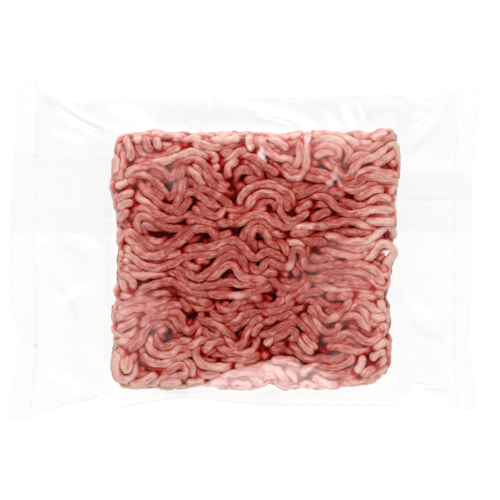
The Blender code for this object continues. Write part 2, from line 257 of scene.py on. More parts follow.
    (-2, 40.5, -64.5, 46, -66, 53, -66, 61, -64.8, 67, -62.5),
)
print("drawn strands:", len(TOP_STRANDS))

# %% [markdown]
# Between the strands are openings where the eye falls into the heap, and here and there a strand is
# mostly fat, which is nearly white. Both are ellipses in plan. The block's own outline is drawn the same
# way as the strands, because no side of it is straight.

# %% Hollows, pale places and the outline of the block
HOLLOWS = (
    (-40, 8.2, 10.5, 3.2), (-36.5, 40.5, 2, 1.5), (-58, 36, 1.5, 2), (-3.5, 27, 2.5, 6),
    (-2.5, 34.5, 1.5, 1.5), (11, 37.5, 1.5, 3.5), (-5, 10.5, 9, 2), (-20, 7.5, 3, 1.6),
    (21, 5.8, 6, 1.2), (8, 6.5, 1.6, 2), (6.5, 0, 2.5, 1), (7, -7, 2, 1.2), (34, 32.8, 5, 1),
    (-35, -12.8, 4, 1.6), (-51, -15, 4, 1.6), (-8, -12.5, 2.5, 1.6), (-5, -11, 1.5, 1.5),
    (46, 2.6, 8, 1.8), (69, -6, 2.5, 3.2), (71, 7, 2, 2.5), (57, -46.8, 5.5, 1.3),
    (-48.5, -58.2, 3, 2), (-38, -43.5, 3, 2.8), (-2.7, -43, 2, 3.5), (-12, -53.5, 6, 2),
    (2.8, -48.2, 1.6, 1.6), (6.5, -29.6, 2, 1.5), (-34, -23.5, 6, 2), (50, 41.5, 2.5, 3),
    (-57, 14, 2, 2.5), (-35, 53, 1, 2.6), (67, -27, 3, 1), (51, -37.5, 2, 2.5),
    (43.5, -37.5, 2.5, 1.2), (21, -52.5, 2, 1.6), (71.5, -1.5, 1.5, 1.5),
)
FATTY_PLACES = (
    (-9.5, 40.5, 2.5, 2.5), (1, 32.5, 4.5, 1.7), (71, 46.5, 3, 2), (64.5, 30.5, 4.5, 1.5),
    (-50, -12, 8, 1.6), (-3, -22.5, 5, 1.6), (33, 18, 4.5, 1.8), (50, -2.4, 9, 1.7),
    (50, -19.3, 12, 1.6), (-59.5, -38, 3, 1.5), (-26, -45, 3.5, 1.7), (2.5, -27.5, 4, 1.7),
    (45.5, -33.3, 3.2, 2), (24, -8, 2.5, 2.5), (62, -30, 2, 3),
)
BLOCK_OUTLINE = (
    (-66, -58), (-64.5, -45), (-65.5, -30), (-62.8, -10), (-62.8, 14), (-66, 28), (-66, 37),
    (-64, 51), (-60.5, 57), (-52, 58.7), (-45, 60.3), (-38, 59), (-15, 59), (-3, 59.5), (5, 59.3),
    (18, 57.7), (25, 59.5), (37, 60), (50, 58), (55, 59.5), (63, 58), (69, 60.5), (74, 60.5),
    (78, 57), (76.3, 54.5), (78.3, 45), (78.3, 33), (76, 25), (77.5, 15), (75.5, 5), (76.5, -1),
    (74.5, -8), (73, -18), (71.5, -24), (73.3, -32), (73.5, -56), (71, -62), (65, -66.5),
    (55, -68), (45, -69.5), (30, -69), (20, -70), (14.5, -66.8), (7, -69.5), (-5, -70),
    (-20, -67.3), (-33, -69.3), (-50, -68.7), (-58, -69), (-64, -65),
)


def smooth_line(corners, step, closed=False):
    """Evenly spaced points along a soft curve through the given ones (Catmull-Rom)."""
    corners = np.array(corners, float)
    if closed:
        held = np.vstack([corners[-1:], corners, corners[:2]])
    else:
        held = np.vstack([2 * corners[0] - corners[1], corners, 2 * corners[-1] - corners[-2]])
    t = np.linspace(0, 1, 12, endpoint=False)[:, None]
    pieces = []
    for a, b, c, d in zip(held, held[1:], held[2:], held[3:]):
        pieces.append(0.5 * (2 * b + (c - a) * t + (2 * a - 5 * b + 4 * c - d) * t**2 + (3 * b - a - 3 * c + d) * t**3))
    line = np.vstack(pieces + [held[-2:-1]])
    gone = np.concatenate([[0], np.cumsum(np.linalg.norm(np.diff(line, axis=0), axis=1))])
    at = np.linspace(0, gone[-1], max(int(round(gone[-1] / step)) + 1, 2))
    return np.column_stack([np.interp(at, gone, line[:, k]) for k in range(line.shape[1])])


GRID_HALF = 92.0
GRID_STEP = 1.0
axis = np.arange(-GRID_HALF, GRID_HALF + GRID_STEP, GRID_STEP)
grid_x, grid_y = np.meshgrid(axis, axis, indexing="ij")


def on_grid(values, x, y):
    """A grid's values between its points."""
    last = len(axis) - 1.001
    i = np.clip((np.asarray(x, float) + GRID_HALF) / GRID_STEP, 0, last)
    j = np.clip((np.asarray(y, float) + GRID_HALF) / GRID_STEP, 0, last)
    a, b = i.astype(int), j.astype(int)
    u, v = i - a, j - b
    low = values[a, b] * (1 - u) + values[a + 1, b] * u
    high = values[a, b + 1] * (1 - u) + values[a + 1, b + 1] * u
    return low * (1 - v) + high * v


def inside_outline(outline, x, y):
    """Distance inside a closed outline, negative outside it."""
    ends = np.roll(outline, -1, axis=0)
    nearest = np.full(x.shape, 1e9)
    crossings = np.zeros(x.shape, int)
    for (ax, ay), (bx, by) in zip(outline, ends):
        ux, uy = bx - ax, by - ay
        along = np.clip(((x - ax) * ux + (y - ay) * uy) / (ux * ux + uy * uy), 0, 1)
        nearest = np.minimum(nearest, np.hypot(x - ax - ux * along, y - ay - uy * along))
        if ay != by:
            crossings += ((ay > y) != (by > y)) & (x < (bx - ax) * (y - ay) / (by - ay) + ax)
    return np.where(crossings % 2 == 1, nearest, -nearest)


outline = smooth_line(BLOCK_OUTLINE, 3.0, closed=True)[:-1]
inset = inside_outline(outline, grid_x, grid_y)
inset_dx, inset_dy = np.gradient(inset, GRID_STEP)
print("block, in mm:", np.ptp(outline, axis=0).round(1), "area", round(float((inset > 0).sum()) / 100, 1), "cm2")

# %% [markdown]
# ## The flow of each layer
# A field of directions says which way the strands run at every place. In the top layer it is spread out
# from the drawn strands, so that the ones combed between them run alongside. Directions are averaged as
# double angles, because a strand has a direction but no front or back. The layers below have fields of
# their own, made of slow waves, because only their edges show. There the strands turn along the side.

# %% Direction fields on a 1 mm grid
STRAND = 3.9
PACKED = 3.4
EDGE_ROOM = 1.1
EDGE_FLOW = 7.0
BLOCK_TOP = 31.4
LAYERS = 12
LAYER_PITCH = (BLOCK_TOP - STRAND) / (LAYERS - 1)
POINT_STEP = 1.5
rng = np.random.default_rng(12)


def waves(x, y, seed, size, count=4):
    """Smooth noise from about -1 to 1: a few crossed waves of about one length."""
    r = np.random.default_rng(seed)
    total = np.zeros_like(x)
    for _ in range(count):
        turn = r.uniform(0, 2 * math.pi)
        length = size * r.uniform(0.7, 1.5)
        total += np.sin((x * math.cos(turn) + y * math.sin(turn)) * 2 * math.pi / length + r.uniform(0, 7))
    return total / math.sqrt(count) * 0.8


def blurred(values, reach):
    """Gaussian blur of a grid."""
    kernel = np.exp(-0.5 * (np.arange(-3 * reach, 3 * reach + 1) / reach) ** 2)
    kernel /= kernel.sum()
    for side in (0, 1):
        values = np.apply_along_axis(np.convolve, side, values, kernel, mode="same")
    return values


def flow_along(lines):
    """Double-angle field spread out from drawn lines."""
    c, s = np.zeros_like(grid_x), np.zeros_like(grid_x)
    for line in lines:
        way = np.gradient(line[:, :2], axis=0)
        angle = 2 * np.arctan2(way[:, 1], way[:, 0])
        i = np.round((line[:, 0] + GRID_HALF) / GRID_STEP).astype(int)
        j = np.round((line[:, 1] + GRID_HALF) / GRID_STEP).astype(int)
        np.add.at(c, (i, j), np.cos(angle))
        np.add.at(s, (i, j), np.sin(angle))
    near = blurred(c, 2), blurred(s, 2)
    far = blurred(c, 7), blurred(s, 7)
    return near[0] + 0.2 * far[0], near[1] + 0.2 * far[1]


def flow_of_waves(seed):
    """Double-angle field of strands that wander inside the block and run along its sides."""
    angle = 1.1 * waves(grid_x, grid_y, seed, 70) + 0.9 * waves(grid_x, grid_y, seed + 1, 30)
    beside = np.clip(1.3 - inset / EDGE_FLOW, 0, 1)
    edge_angle = np.arctan2(inset_dy, inset_dx) + math.pi / 2 + 0.25 * waves(grid_x, grid_y, seed + 2, 15)
    c = (1 - beside) * np.cos(2 * angle) + beside * np.cos(2 * edge_angle)
    return c, (1 - beside) * np.sin(2 * angle) + beside * np.sin(2 * edge_angle)


def turned(field, angle):
    """A double-angle field turned by an angle that may differ from place to place."""
    c, s = np.cos(2 * angle), np.sin(2 * angle)
    return field[0] * c - field[1] * s, field[0] * s + field[1] * c


END_DIP = 3.4
END_REACH = 6.5
END_ADDED = 3.0
ADDED_INSET = 4.0
FILLER_SUNK = 0.6


def end_dip(count):
    """How far each of a strand's points is sunk, so that its ends dive under their neighbours."""
    from_end = POINT_STEP * np.minimum(np.arange(count), np.arange(count)[::-1])
    return END_DIP * np.clip(1 - from_end / END_REACH, 0, 1) ** 1.6


def longer(plan):
    """A drawn strand run on a little at each end that is not at the side of the block."""
    start, end = 2 * plan[0] - plan[1], 2 * plan[-1] - plan[-2]
    start = plan[0] + (start - plan[0]) * END_ADDED / np.linalg.norm(start - plan[0])
    end = plan[-1] + (end - plan[-1]) * END_ADDED / np.linalg.norm(end - plan[-1])
    if on_grid(inset, *start) > ADDED_INSET:
        plan = np.vstack([start, plan])
    if on_grid(inset, *end) > ADDED_INSET:
        plan = np.vstack([plan, end])
    return plan


top_lines = []
for strand in TOP_STRANDS:
    line = smooth_line(longer(np.array(strand[1:], float).reshape(-1, 2)), POINT_STEP)
    top_lines.append(np.column_stack([line, strand[0] - end_dip(len(line))]))
print("metres drawn:", round(sum(len(line) for line in top_lines) * POINT_STEP / 1000, 2))

# %% [markdown]
# The combed lines are drawn one beside another: from each finished line, new ones start a strand's
# width to either side, and each grows both ways until it meets another line, the edge of the block or
# its own full length. What is left open is tried again from random places, so short pieces fill it.

# %% Comb evenly spaced lines through a field
DRAW_STEP = 0.8


class Combed:
    """One layer's lines, with a coarse grid of their points to test distances against."""

    def __init__(self, field, spacing, margin, hollows, seed):
        self.c, self.s = field
        self.spacing = spacing
        self.margin = margin
        self.hollows = hollows
        self.rng = np.random.default_rng(seed)
        self.cells = {}
        self.lines = []

    def at(self, values, x, y):
        return values[int(round((x + GRID_HALF) / GRID_STEP)), int(round((y + GRID_HALF) / GRID_STEP))]

    def direction(self, x, y):
        angle = 0.5 * math.atan2(self.at(self.s, x, y), self.at(self.c, x, y))
        return math.cos(angle), math.sin(angle)

    def hold(self, x, y, line, number):
        cell = (int(x // self.spacing), int(y // self.spacing))
        self.cells.setdefault(cell, []).append((x, y, line, number))

    def is_open(self, x, y, distance, own=None):
        if self.at(inset, x, y) < self.margin:
            return False
        for hx, hy, half_x, half_y in self.hollows:
            if ((x - hx) / half_x) ** 2 + ((y - hy) / half_y) ** 2 < 1:
                return False
        i, j = int(x // self.spacing), int(y // self.spacing)
        for cell in [(a, b) for a in (i - 1, i, i + 1) for b in (j - 1, j, j + 1)]:
            for px, py, line, number in self.cells.get(cell, ()):
                if (px - x) ** 2 + (py - y) ** 2 < distance**2:
                    if own is None or line is not own[0]:
                        return False
                    if abs(number - own[1]) * DRAW_STEP > 2.5 * self.spacing:
                        return False
        return True

    def grow(self, x, y, sign, longest, line):
        dx, dy = self.direction(x, y)
        dx, dy = sign * dx, sign * dy
        points = []
        for step in range(1, int(longest / DRAW_STEP)):
            nx, ny = self.direction(x + dx * DRAW_STEP / 2, y + dy * DRAW_STEP / 2)
            if nx * dx + ny * dy < 0:
                nx, ny = -nx, -ny
            dx, dy = dx + nx, dy + ny
            size = math.hypot(dx, dy)
            dx, dy = dx / size, dy / size
            x, y = x + dx * DRAW_STEP, y + dy * DRAW_STEP
            if not self.is_open(x, y, 0.82 * self.spacing, (line, sign * step)):
                break
            points.append((x, y))
            self.hold(x, y, line, sign * step)
        return points

    def try_line(self, x, y, distance, longest, shortest):
        if not self.is_open(x, y, distance):
            return None
        mark = object()
        self.hold(x, y, mark, 0)
        share = self.rng.uniform(0.3, 0.7)
        ahead = self.grow(x, y, 1, longest * share, mark)
        behind = self.grow(x, y, -1, longest * (1 - share), mark)
        line = behind[::-1] + [(x, y)] + ahead
        if len(line) * DRAW_STEP < shortest:
            for cell, held in self.cells.items():
                self.cells[cell] = [point for point in held if point[2] is not mark]
            return None
        self.lines.append(line)
        return line

    def fill(self, started, longest, shortest, tries):
        queue = list(started)
        for line in started:
            mark = object()
            for number, (x, y) in enumerate(line):
                self.hold(x, y, mark, number)
        for _ in range(tries):
            if not queue:
                x = self.rng.uniform(-66, 78)
                y = self.rng.uniform(-70, 60)
                line = self.try_line(x, y, self.spacing * 0.9, self.rng.uniform(*longest), shortest)
                if line:
                    queue.append(line)
                continue
            line = queue.pop(0)
            for at in range(2, len(line) - 2, 4):
                (x0, y0), (x1, y1) = line[at - 1], line[at + 1]
                size = math.hypot(x1 - x0, y1 - y0)
                nx, ny = -(y1 - y0) / size, (x1 - x0) / size
                for side in (-self.spacing, self.spacing):
                    x, y = line[at][0] + side * nx, line[at][1] + side * ny
                    new = self.try_line(x, y, self.spacing * 0.94, self.rng.uniform(*longest), shortest)
                    if new:
                        queue.append(new)
        return self.lines


strands = []
layer_of = []
drawn = []
for layer in range(LAYERS):
    depth = LAYERS - 1 - layer
    started = []
    if depth < 2:
        field = turned(flow_along(top_lines), 0.35 * depth * waves(grid_x, grid_y, 55, 26))
    else:
        field = flow_of_waves(100 + 7 * depth)
    if depth == 0:
        started = [[tuple(p) for p in smooth_line(line[:, :2], DRAW_STEP)] for line in top_lines]
    margin = EDGE_ROOM + (1.6 if depth == 0 else 0.6 if depth == 1 or layer == 0 else 0)
    comb = Combed(field, PACKED if depth == 0 else 3.6, margin, HOLLOWS if depth == 0 else (), 200 + depth)
    lines = comb.fill(started, (25, 90) if depth else (14, 60), 10 if depth == 1 else 6 if depth else 14, 900 if depth else 1500)
    height = STRAND / 2 + layer * LAYER_PITCH
    if depth == 0:
        for line in top_lines:
            strands.append(line + (0, 0, height))
            layer_of.append(layer)
            drawn.append(True)
    for number, line in enumerate(lines):
        flat = smooth_line(line, POINT_STEP)
        lift = (1.2 if depth < 2 else 2.0) * waves(flat[:, 0], flat[:, 1], 900 + 50 * layer + number % 50, 22)
        if depth == 0:
            lift = lift * 0.4 - FILLER_SUNK - end_dip(len(flat))
        strands.append(np.column_stack([flat, height + lift]))
        layer_of.append(layer)
        drawn.append(False)
    print("layer", layer, "combed", len(lines), "metres", round(sum(map(len, lines)) * DRAW_STEP / 1000, 2))

# %% [markdown]
# ## Settle the heap
# The drawn layers are flat, and strands that cross would run through one another. Position-based
# dynamics settles them: every strand is a string of points, points of two strands that come closer than
# a strand's width push each other apart, gravity pulls down, and the floor, the film above and the
# sides of the block push back. A strand's shift is smoothed along its length, which keeps the bends it
# was drawn with. Blender's own cloth or soft body could do this too, but far more slowly.

# %% Settle
TOUCH = 3.35
SETTLE_STEPS = 140
GRAVITY_STEP = 0.03
SHOULDER = 8.0
SHOULDER_DROP = 3.2
HOLLOW_DEPTH = 4.8
BEHIND = 0.25
LIFTED_LAYERS = 3
LIFT_STEP = 0.035
LOOSE_END = 4.6

start_points = np.vstack(strands)
strand_of = np.repeat(np.arange(len(strands)), [len(s) for s in strands])
number_of = np.concatenate([np.arange(len(s)) for s in strands])
held_back = np.array(drawn)[strand_of]
top_point = (np.array(layer_of) == LAYERS - 1)[strand_of]
lifted = (np.array(layer_of) >= LAYERS - 1 - LIFTED_LAYERS)[strand_of] & ~top_point
pull = np.where(lifted, LIFT_STEP, -GRAVITY_STEP)
point_count = np.array([len(s) for s in strands])[strand_of]
to_end = POINT_STEP * np.minimum(number_of, point_count - 1 - number_of)
diving = top_point & (to_end < LOOSE_END)
first = number_of == 0
last = np.roll(first, -1)
points = start_points + rng.normal(0, 0.12, start_points.shape)


def roof(x, y):
    """Height of the film over the block: level, rounded down at the shoulders, softly uneven."""
    near_edge = np.clip(1 - on_grid(inset, x, y) / SHOULDER, 0, 1)
    return BLOCK_TOP - SHOULDER_DROP * near_edge**2 + 0.45 * waves(np.asarray(x, float), np.asarray(y, float), 31, 38)


hollow = np.zeros_like(grid_x)
for hx, hy, half_x, half_y in HOLLOWS:
    away = ((grid_x - hx) / half_x) ** 2 + ((grid_y - hy) / half_y) ** 2
    hollow = np.maximum(hollow, HOLLOW_DEPTH * min(half_x, half_y) ** 0.5 * np.exp(-(away**2)))


def close_pairs(points, reach):
    """Pairs of points nearer than reach, found cell by cell."""
    cell = np.floor((points - points.min(axis=0)) / reach).astype(np.int64) + 1
    ny, nz = cell[:, 1].max() + 2, cell[:, 2].max() + 2
    key = (cell[:, 0] * ny + cell[:, 1]) * nz + cell[:, 2]
    order = np.argsort(key, kind="stable")
    ranked = key[order]
    found = []
    half = [(0, 0, 0), (0, 0, 1)] + [(0, 1, k) for k in (-1, 0, 1)]
    half += [(1, j, k) for j in (-1, 0, 1) for k in (-1, 0, 1)]
    for di, dj, dk in half:
        want = key + (di * ny + dj) * nz + dk
        begin = np.searchsorted(ranked, want, "left")
        count = np.searchsorted(ranked, want, "right") - begin
        i = np.repeat(np.arange(len(points)), count)
        run = np.arange(count.sum()) - np.repeat(np.cumsum(count) - count, count)
        j = order[np.repeat(begin, count) + run]
        keep = ((points[i] - points[j]) ** 2).sum(axis=1) < reach**2
        if (di, dj, dk) == (0, 0, 0):
            keep &= i < j
        found.append(np.column_stack([i[keep], j[keep]]))
    return np.vstack(found)


def along_mean(values):
    """Mean of each point's two neighbours on its strand."""
    before, after = np.roll(values, 1, axis=0), np.roll(values, -1, axis=0)
    before[first] = after[first]
    after[last] = before[last]
    return (before + after) / 2


share_moved = np.where(held_back, 0.35, 1.0)
side_room = EDGE_ROOM + np.where(held_back, 0, rng.uniform(0.1, 1.5, len(strands))[strand_of])
for step in range(SETTLE_STEPS):
    if step % 12 == 0:
        pairs = close_pairs(points, TOUCH + 0.7)
        same = strand_of[pairs[:, 0]] == strand_of[pairs[:, 1]]
        beside = np.abs(number_of[pairs[:, 0]] - number_of[pairs[:, 1]]) * POINT_STEP < 1.6 * TOUCH
        pairs = pairs[~(same & beside) & ~diving[pairs].any(axis=1)]
        a, b = pairs.T
        weight = share_moved[a] + share_moved[b]
        part_a, part_b = share_moved[a] / weight, share_moved[b] / weight
    points[:, 2] += pull
    away = points[a] - points[b]
    away[:, 2] *= 1.0
    gap = np.sqrt((away**2).sum(axis=1)) + 1e-6
    push = np.maximum(TOUCH - gap, 0) / gap * 0.42
    touching = push > 0
    count = np.bincount(a[touching], minlength=len(points)) + np.bincount(b[touching], minlength=len(points))
    for k in range(3):
        move = push * away[:, k]
        shift = np.bincount(a, move * part_a, len(points)) - np.bincount(b, move * part_b, len(points))
        points[:, k] += shift / np.maximum(count, 1) ** 0.5
    drift = points - start_points
    points += 0.45 * (along_mean(drift) - drift)
    points[:, :2] += (start_points[:, :2] - points[:, :2]) * np.where(held_back, 0.06, 0.004)[:, None]
    room = on_grid(inset, points[:, 0], points[:, 1]) - side_room
    out = np.minimum(room, 0)
    points[:, 0] -= out * on_grid(inset_dx, points[:, 0], points[:, 1])
    points[:, 1] -= out * on_grid(inset_dy, points[:, 0], points[:, 1])
    points[:, 2] = np.maximum(points[:, 2], STRAND / 2)
    lid = roof(points[:, 0], points[:, 1]) - STRAND / 2 - np.where(held_back, 0, BEHIND + on_grid(hollow, points[:, 0], points[:, 1]))
    points[:, 2] = np.minimum(points[:, 2], lid)

strands = [points[strand_of == k] for k in range(len(strands))]
print("settled", len(points), "points; top at", points[:, 2].max().round(2), "mm, mean top layer", points[top_point][:, 2].mean().round(2))

# %% [markdown]
# Only strands near the outside can be seen, so the deep inside of the heap is left out and a plain core
# of the same mince closes it. What is kept is cut into runs, and each run becomes a soft tube.

# %% Keep what can be seen
DEPTH_KEPT_TOP = 12.0
DEPTH_KEPT_SIDE = 9.0
DEPTH_KEPT_BASE = 4.6
SHORTEST_RUN = 4


def seen_runs(line):
    """The runs of a strand that lie near the outside of the heap."""
    from_side = on_grid(inset, line[:, 0], line[:, 1])
    from_top = roof(line[:, 0], line[:, 1]) - line[:, 2]
    shown = (from_side < DEPTH_KEPT_SIDE) | (from_top < DEPTH_KEPT_TOP) | (line[:, 2] < DEPTH_KEPT_BASE)
    runs, run = [], []
    for at, show in enumerate(shown):
        if show:
            run.append(at)
        if not show or at == len(line) - 1:
            if len(run) >= SHORTEST_RUN:
                runs.append(line[run])
            run = []
    return runs


kinds = {"mince_top": [], "mince_second": [], "mince_sides": [], "mince_base": []}
for number, line in enumerate(strands):
    layer = layer_of[number]
    for run in seen_runs(line):
        from_top = (roof(run[:, 0], run[:, 1]) - run[:, 2]).mean()
        if layer == LAYERS - 1:
            kind = "mince_top"
        elif from_top < DEPTH_KEPT_TOP:
            kind = "mince_second"
        elif run[:, 2].mean() < DEPTH_KEPT_BASE:
            kind = "mince_base"
        else:
            kind = "mince_sides"
        kinds[kind].append((number, run))
for kind, runs in kinds.items():
    print(kind, len(runs), "runs", round(sum(len(run) for _, run in runs) * POINT_STEP / 1000, 1), "m")

# %% [markdown]
# ## Strands as tubes
# A strand could be a curve with a bevel, but its thickness would be even. Mince is lumpy: scraps of lean
# and fat of 1 to 5 mm swell and pinch it, it is flattened where the film presses, and its ends are torn
# round. So the rings of each tube are placed one by one. Every point of the mesh also keeps a coordinate
# that follows its strand, so that the fat flecks stretch along it as they do in real mince.

# %% How much open sky each place of the heap sees, which sets the painted shade in its grooves
SHOWN_STRAND = 4.42
SKY_STEP = 0.5
SKY_WAYS = 12
SKY_DISTANCES = (0.7, 1.3, 2.0, 3.0, 4.5, 7.0, 10.0)
heap = np.full((int(2 * GRID_HALF / SKY_STEP) + 1,) * 2, -1.0)
cells_out = int(SHOWN_STRAND / 2 / SKY_STEP) + 1
dense = np.vstack([smooth_line(run, SKY_STEP) for runs in kinds.values() for _, run in runs])
cell_i = np.round((dense[:, 0] + GRID_HALF) / SKY_STEP).astype(int)
cell_j = np.round((dense[:, 1] + GRID_HALF) / SKY_STEP).astype(int)
for di in range(-cells_out, cells_out + 1):
    for dj in range(-cells_out, cells_out + 1):
        off_x = (cell_i + di) * SKY_STEP - GRID_HALF - dense[:, 0]
        off_y = (cell_j + dj) * SKY_STEP - GRID_HALF - dense[:, 1]
        left_over = (SHOWN_STRAND / 2) ** 2 - off_x**2 - off_y**2
        over_strand = left_over > 0
        height = dense[over_strand, 2] + np.sqrt(left_over[over_strand])
        np.maximum.at(heap, (cell_i[over_strand] + di, cell_j[over_strand] + dj), height)


def heap_height(x, y):
    """Top of the heap at a place, between the map's cells."""
    i = np.clip((x + GRID_HALF) / SKY_STEP, 0, len(heap) - 1.001)
    j = np.clip((y + GRID_HALF) / SKY_STEP, 0, len(heap) - 1.001)
    a, b = i.astype(int), j.astype(int)
    u, v = i - a, j - b
    low = heap[a, b] * (1 - u) + heap[a + 1, b] * u
    high = heap[a, b + 1] * (1 - u) + heap[a + 1, b + 1] * u
    return low * (1 - v) + high * v


def open_sky(corners):
    """Share of the sky that each corner sees over the strands round it, from 0 to 1."""
    seen = np.zeros(len(corners))
    for turn in np.arange(SKY_WAYS) * 2 * math.pi / SKY_WAYS:
        horizon = np.zeros(len(corners))
        for distance in SKY_DISTANCES:
            x = corners[:, 0] + distance * math.cos(turn)
            y = corners[:, 1] + distance * math.sin(turn)
            horizon = np.maximum(horizon, (heap_height(x, y) - corners[:, 2]) / distance)
        seen += 1 / (1 + horizon**2)
    return seen / SKY_WAYS


# %% Tube meshes
RING_STEP = {"mince_top": 0.8, "mince_second": 1.1, "mince_sides": 1.2, "mince_base": 1.4}
RING_SIDES = {"mince_top": 14, "mince_second": 10, "mince_sides": 10, "mince_base": 8}


# Painted light and shade in the strands' tone: paler towards the block's rim, as if lit, and darker in the middle. The
# painted shade in the grooves is eased near the rim.
RIM_PAINTED_LIGHT = 5.4
EDGE_PAINTED_LIGHT = 1.6
EDGE_WIDTH = 7.0
RIM_WIDTH = 26.0
RIM_SHADE_EASING = 0.57
MIDDLE_PAINTED_SHADE = 1.9
FLANK_FOOT = 8.0
FLANK_RISE = 14.0
FLANK_SHARE = 0.45
BAND_REDNESS = 0.9
BAND_HALF_WIDTH = 18.0
BAND_END = (15, 38)


def wander(at, seed, length):
    """Smooth noise along one line."""
    r = np.random.default_rng(seed)
    total = np.zeros_like(at)
    for _ in range(4):
        total += np.sin(at * 2 * math.pi / (length * r.uniform(0.6, 1.6)) + r.uniform(0, 7))
    return total / 2.2


def fatness(x, y):
    """1 in the fatty places of the top layer, 0 away from them."""
    most = np.zeros_like(x)
    for fx, fy, half_x, half_y in FATTY_PLACES:
        most = np.maximum(most, np.exp(-((((x - fx) / half_x) ** 2 + ((y - fy) / half_y) ** 2) ** 1.5)))
    return most


def tube(run, number, step, sides, top):
    """(corners, quads, caps, tone with painted rim light and middle shade, fat, painted groove shade, follow) of one
    strand.
    """
    line = smooth_line(run, step)
    count = len(line)
    gone = np.arange(count) * step
    way = np.gradient(line, axis=0)
    way /= np.linalg.norm(way, axis=1)[:, None]
    across = np.cross(way, (0.02, 0.03, 1.0))
    across /= np.linalg.norm(across, axis=1)[:, None]
    over = np.cross(across, way)
    line = line + 0.14 * wander(gone, number + 7000, 9)[:, None] * across + 0.12 * wander(gone, number + 8000, 7)[:, None] * over
    radius = SHOWN_STRAND / 2 * (1 + 0.055 * wander(gone, number, 10) + 0.035 * wander(gone, number + 5000, 3.4))
    to_end = np.minimum(gone, gone[-1] - gone)
    blunt = np.clip(to_end / (STRAND * 0.7), 0, 1)
    radius *= np.sqrt(np.maximum(1 - (1 - blunt) ** 2, 0.02))
    turn = np.linspace(0, 2 * math.pi, sides, endpoint=False)
    swell = np.ones((count, sides))
    for lobes, size in ((2, 0.05), (3, 0.035), (5, 0.02)):
        swell += size * np.sin(lobes * turn[None, :] + 2.5 * wander(gone, number + 90 * lobes, 6)[:, None])
    reach = radius[:, None] * swell
    side_part, up_part = reach * np.cos(turn), reach * np.sin(turn)
    ring = line[:, None, :] + side_part[..., None] * across[:, None, :] + up_part[..., None] * over[:, None, :]
    corners = ring.reshape(-1, 3)
    a = np.arange(count - 1)[:, None] * sides + np.arange(sides)
    b = np.arange(count - 1)[:, None] * sides + (np.arange(sides) + 1) % sides
    quads = np.stack([a, b, b + sides, a + sides], axis=-1).reshape(-1, 4)
    tips = np.vstack([line[0] - way[0] * 0.12, line[-1] + way[-1] * 0.12])
    start, end = len(corners), len(corners) + 1
    corners = np.vstack([corners, tips])
    around = np.arange(sides)
    after = (around + 1) % sides
    base = (count - 1) * sides
    caps = [np.column_stack([np.full(sides, start), after, around])]
    caps.append(np.column_stack([np.full(sides, end), base + around, base + after]))
    tone = np.full(len(corners), np.random.default_rng(number + 77).normal(0, 1))
    tone += 0.5 * np.concatenate([np.repeat(wander(gone, number + 300, 25), sides), [0, 0]])
    from_edge = on_grid(inset, corners[:, 0], corners[:, 1])
    in_rim = np.clip(1 - from_edge / RIM_WIDTH, 0, 1)
    # Painted light and shade: the tone is lowered everywhere, to a painted darker middle, and raised near the block's
    # rim, more on higher strands, to a paler colour as if lit. A band along the middle, left of x = 38 mm, is made
    # redder.
    on_top = np.clip((corners[:, 2] - FLANK_FOOT) / FLANK_RISE, FLANK_SHARE, 1)
    tone += (RIM_PAINTED_LIGHT * in_rim + EDGE_PAINTED_LIGHT * np.clip(1 - from_edge / EDGE_WIDTH, 0, 1)) * on_top - MIDDLE_PAINTED_SHADE
    in_band = np.exp(-((corners[:, 1] / BAND_HALF_WIDTH) ** 2)) * np.interp(corners[:, 0], BAND_END, (1, 0))
    tone -= BAND_REDNESS * in_band
    fat = fatness(corners[:, 0], corners[:, 1]) if top else np.zeros(len(corners))
    normal = np.cos(turn)[None, :, None] * across[:, None, :] + np.sin(turn)[None, :, None] * over[:, None, :]
    normal = np.vstack([normal.reshape(-1, 3), -way[:1], way[-1:]])
    beside = np.clip(1.5 - on_grid(inset, corners[:, 0], corners[:, 1]) / 4, 0, 1)
    sideways = normal[:, 0] * on_grid(inset_dx, corners[:, 0], corners[:, 1])
    sideways = -(sideways + normal[:, 1] * on_grid(inset_dy, corners[:, 0], corners[:, 1])) * beside
    below = -normal[:, 2] * (corners[:, 2] < 4)
    outward = np.clip((np.maximum(sideways, below) + 0.1) / 0.9, 0, 1)
    # Painted shade: corners that see little open sky, between and under other strands, get a value that darkens and
    # reddens their colour, less so near the block's rim.
    groove_shade = (1 - np.maximum(open_sky(corners), outward)) * (1.1 - RIM_SHADE_EASING * in_rim)
    follow = np.column_stack([np.repeat(gone, sides), side_part.ravel(), up_part.ravel()])
    follow = np.vstack([follow, [gone[0], 0, 0], [gone[-1], 0, 0]]) + (number * 13.7 % 400, number * 7.3 % 90, 0)
    return corners, quads, np.vstack(caps), tone, fat, groove_shade, follow


def under_film(corners):
    """Presses a strand's top flat against the film, and its foot against the floor."""
    lid = roof(corners[:, 0], corners[:, 1])
    over = np.maximum(corners[:, 2] - lid + 0.5, 0)
    corners[:, 2] -= over * 0.75
    under = np.maximum(0.5 - corners[:, 2], 0)
    corners[:, 2] = np.maximum(corners[:, 2] + under * 0.6, 0.35)
    return corners


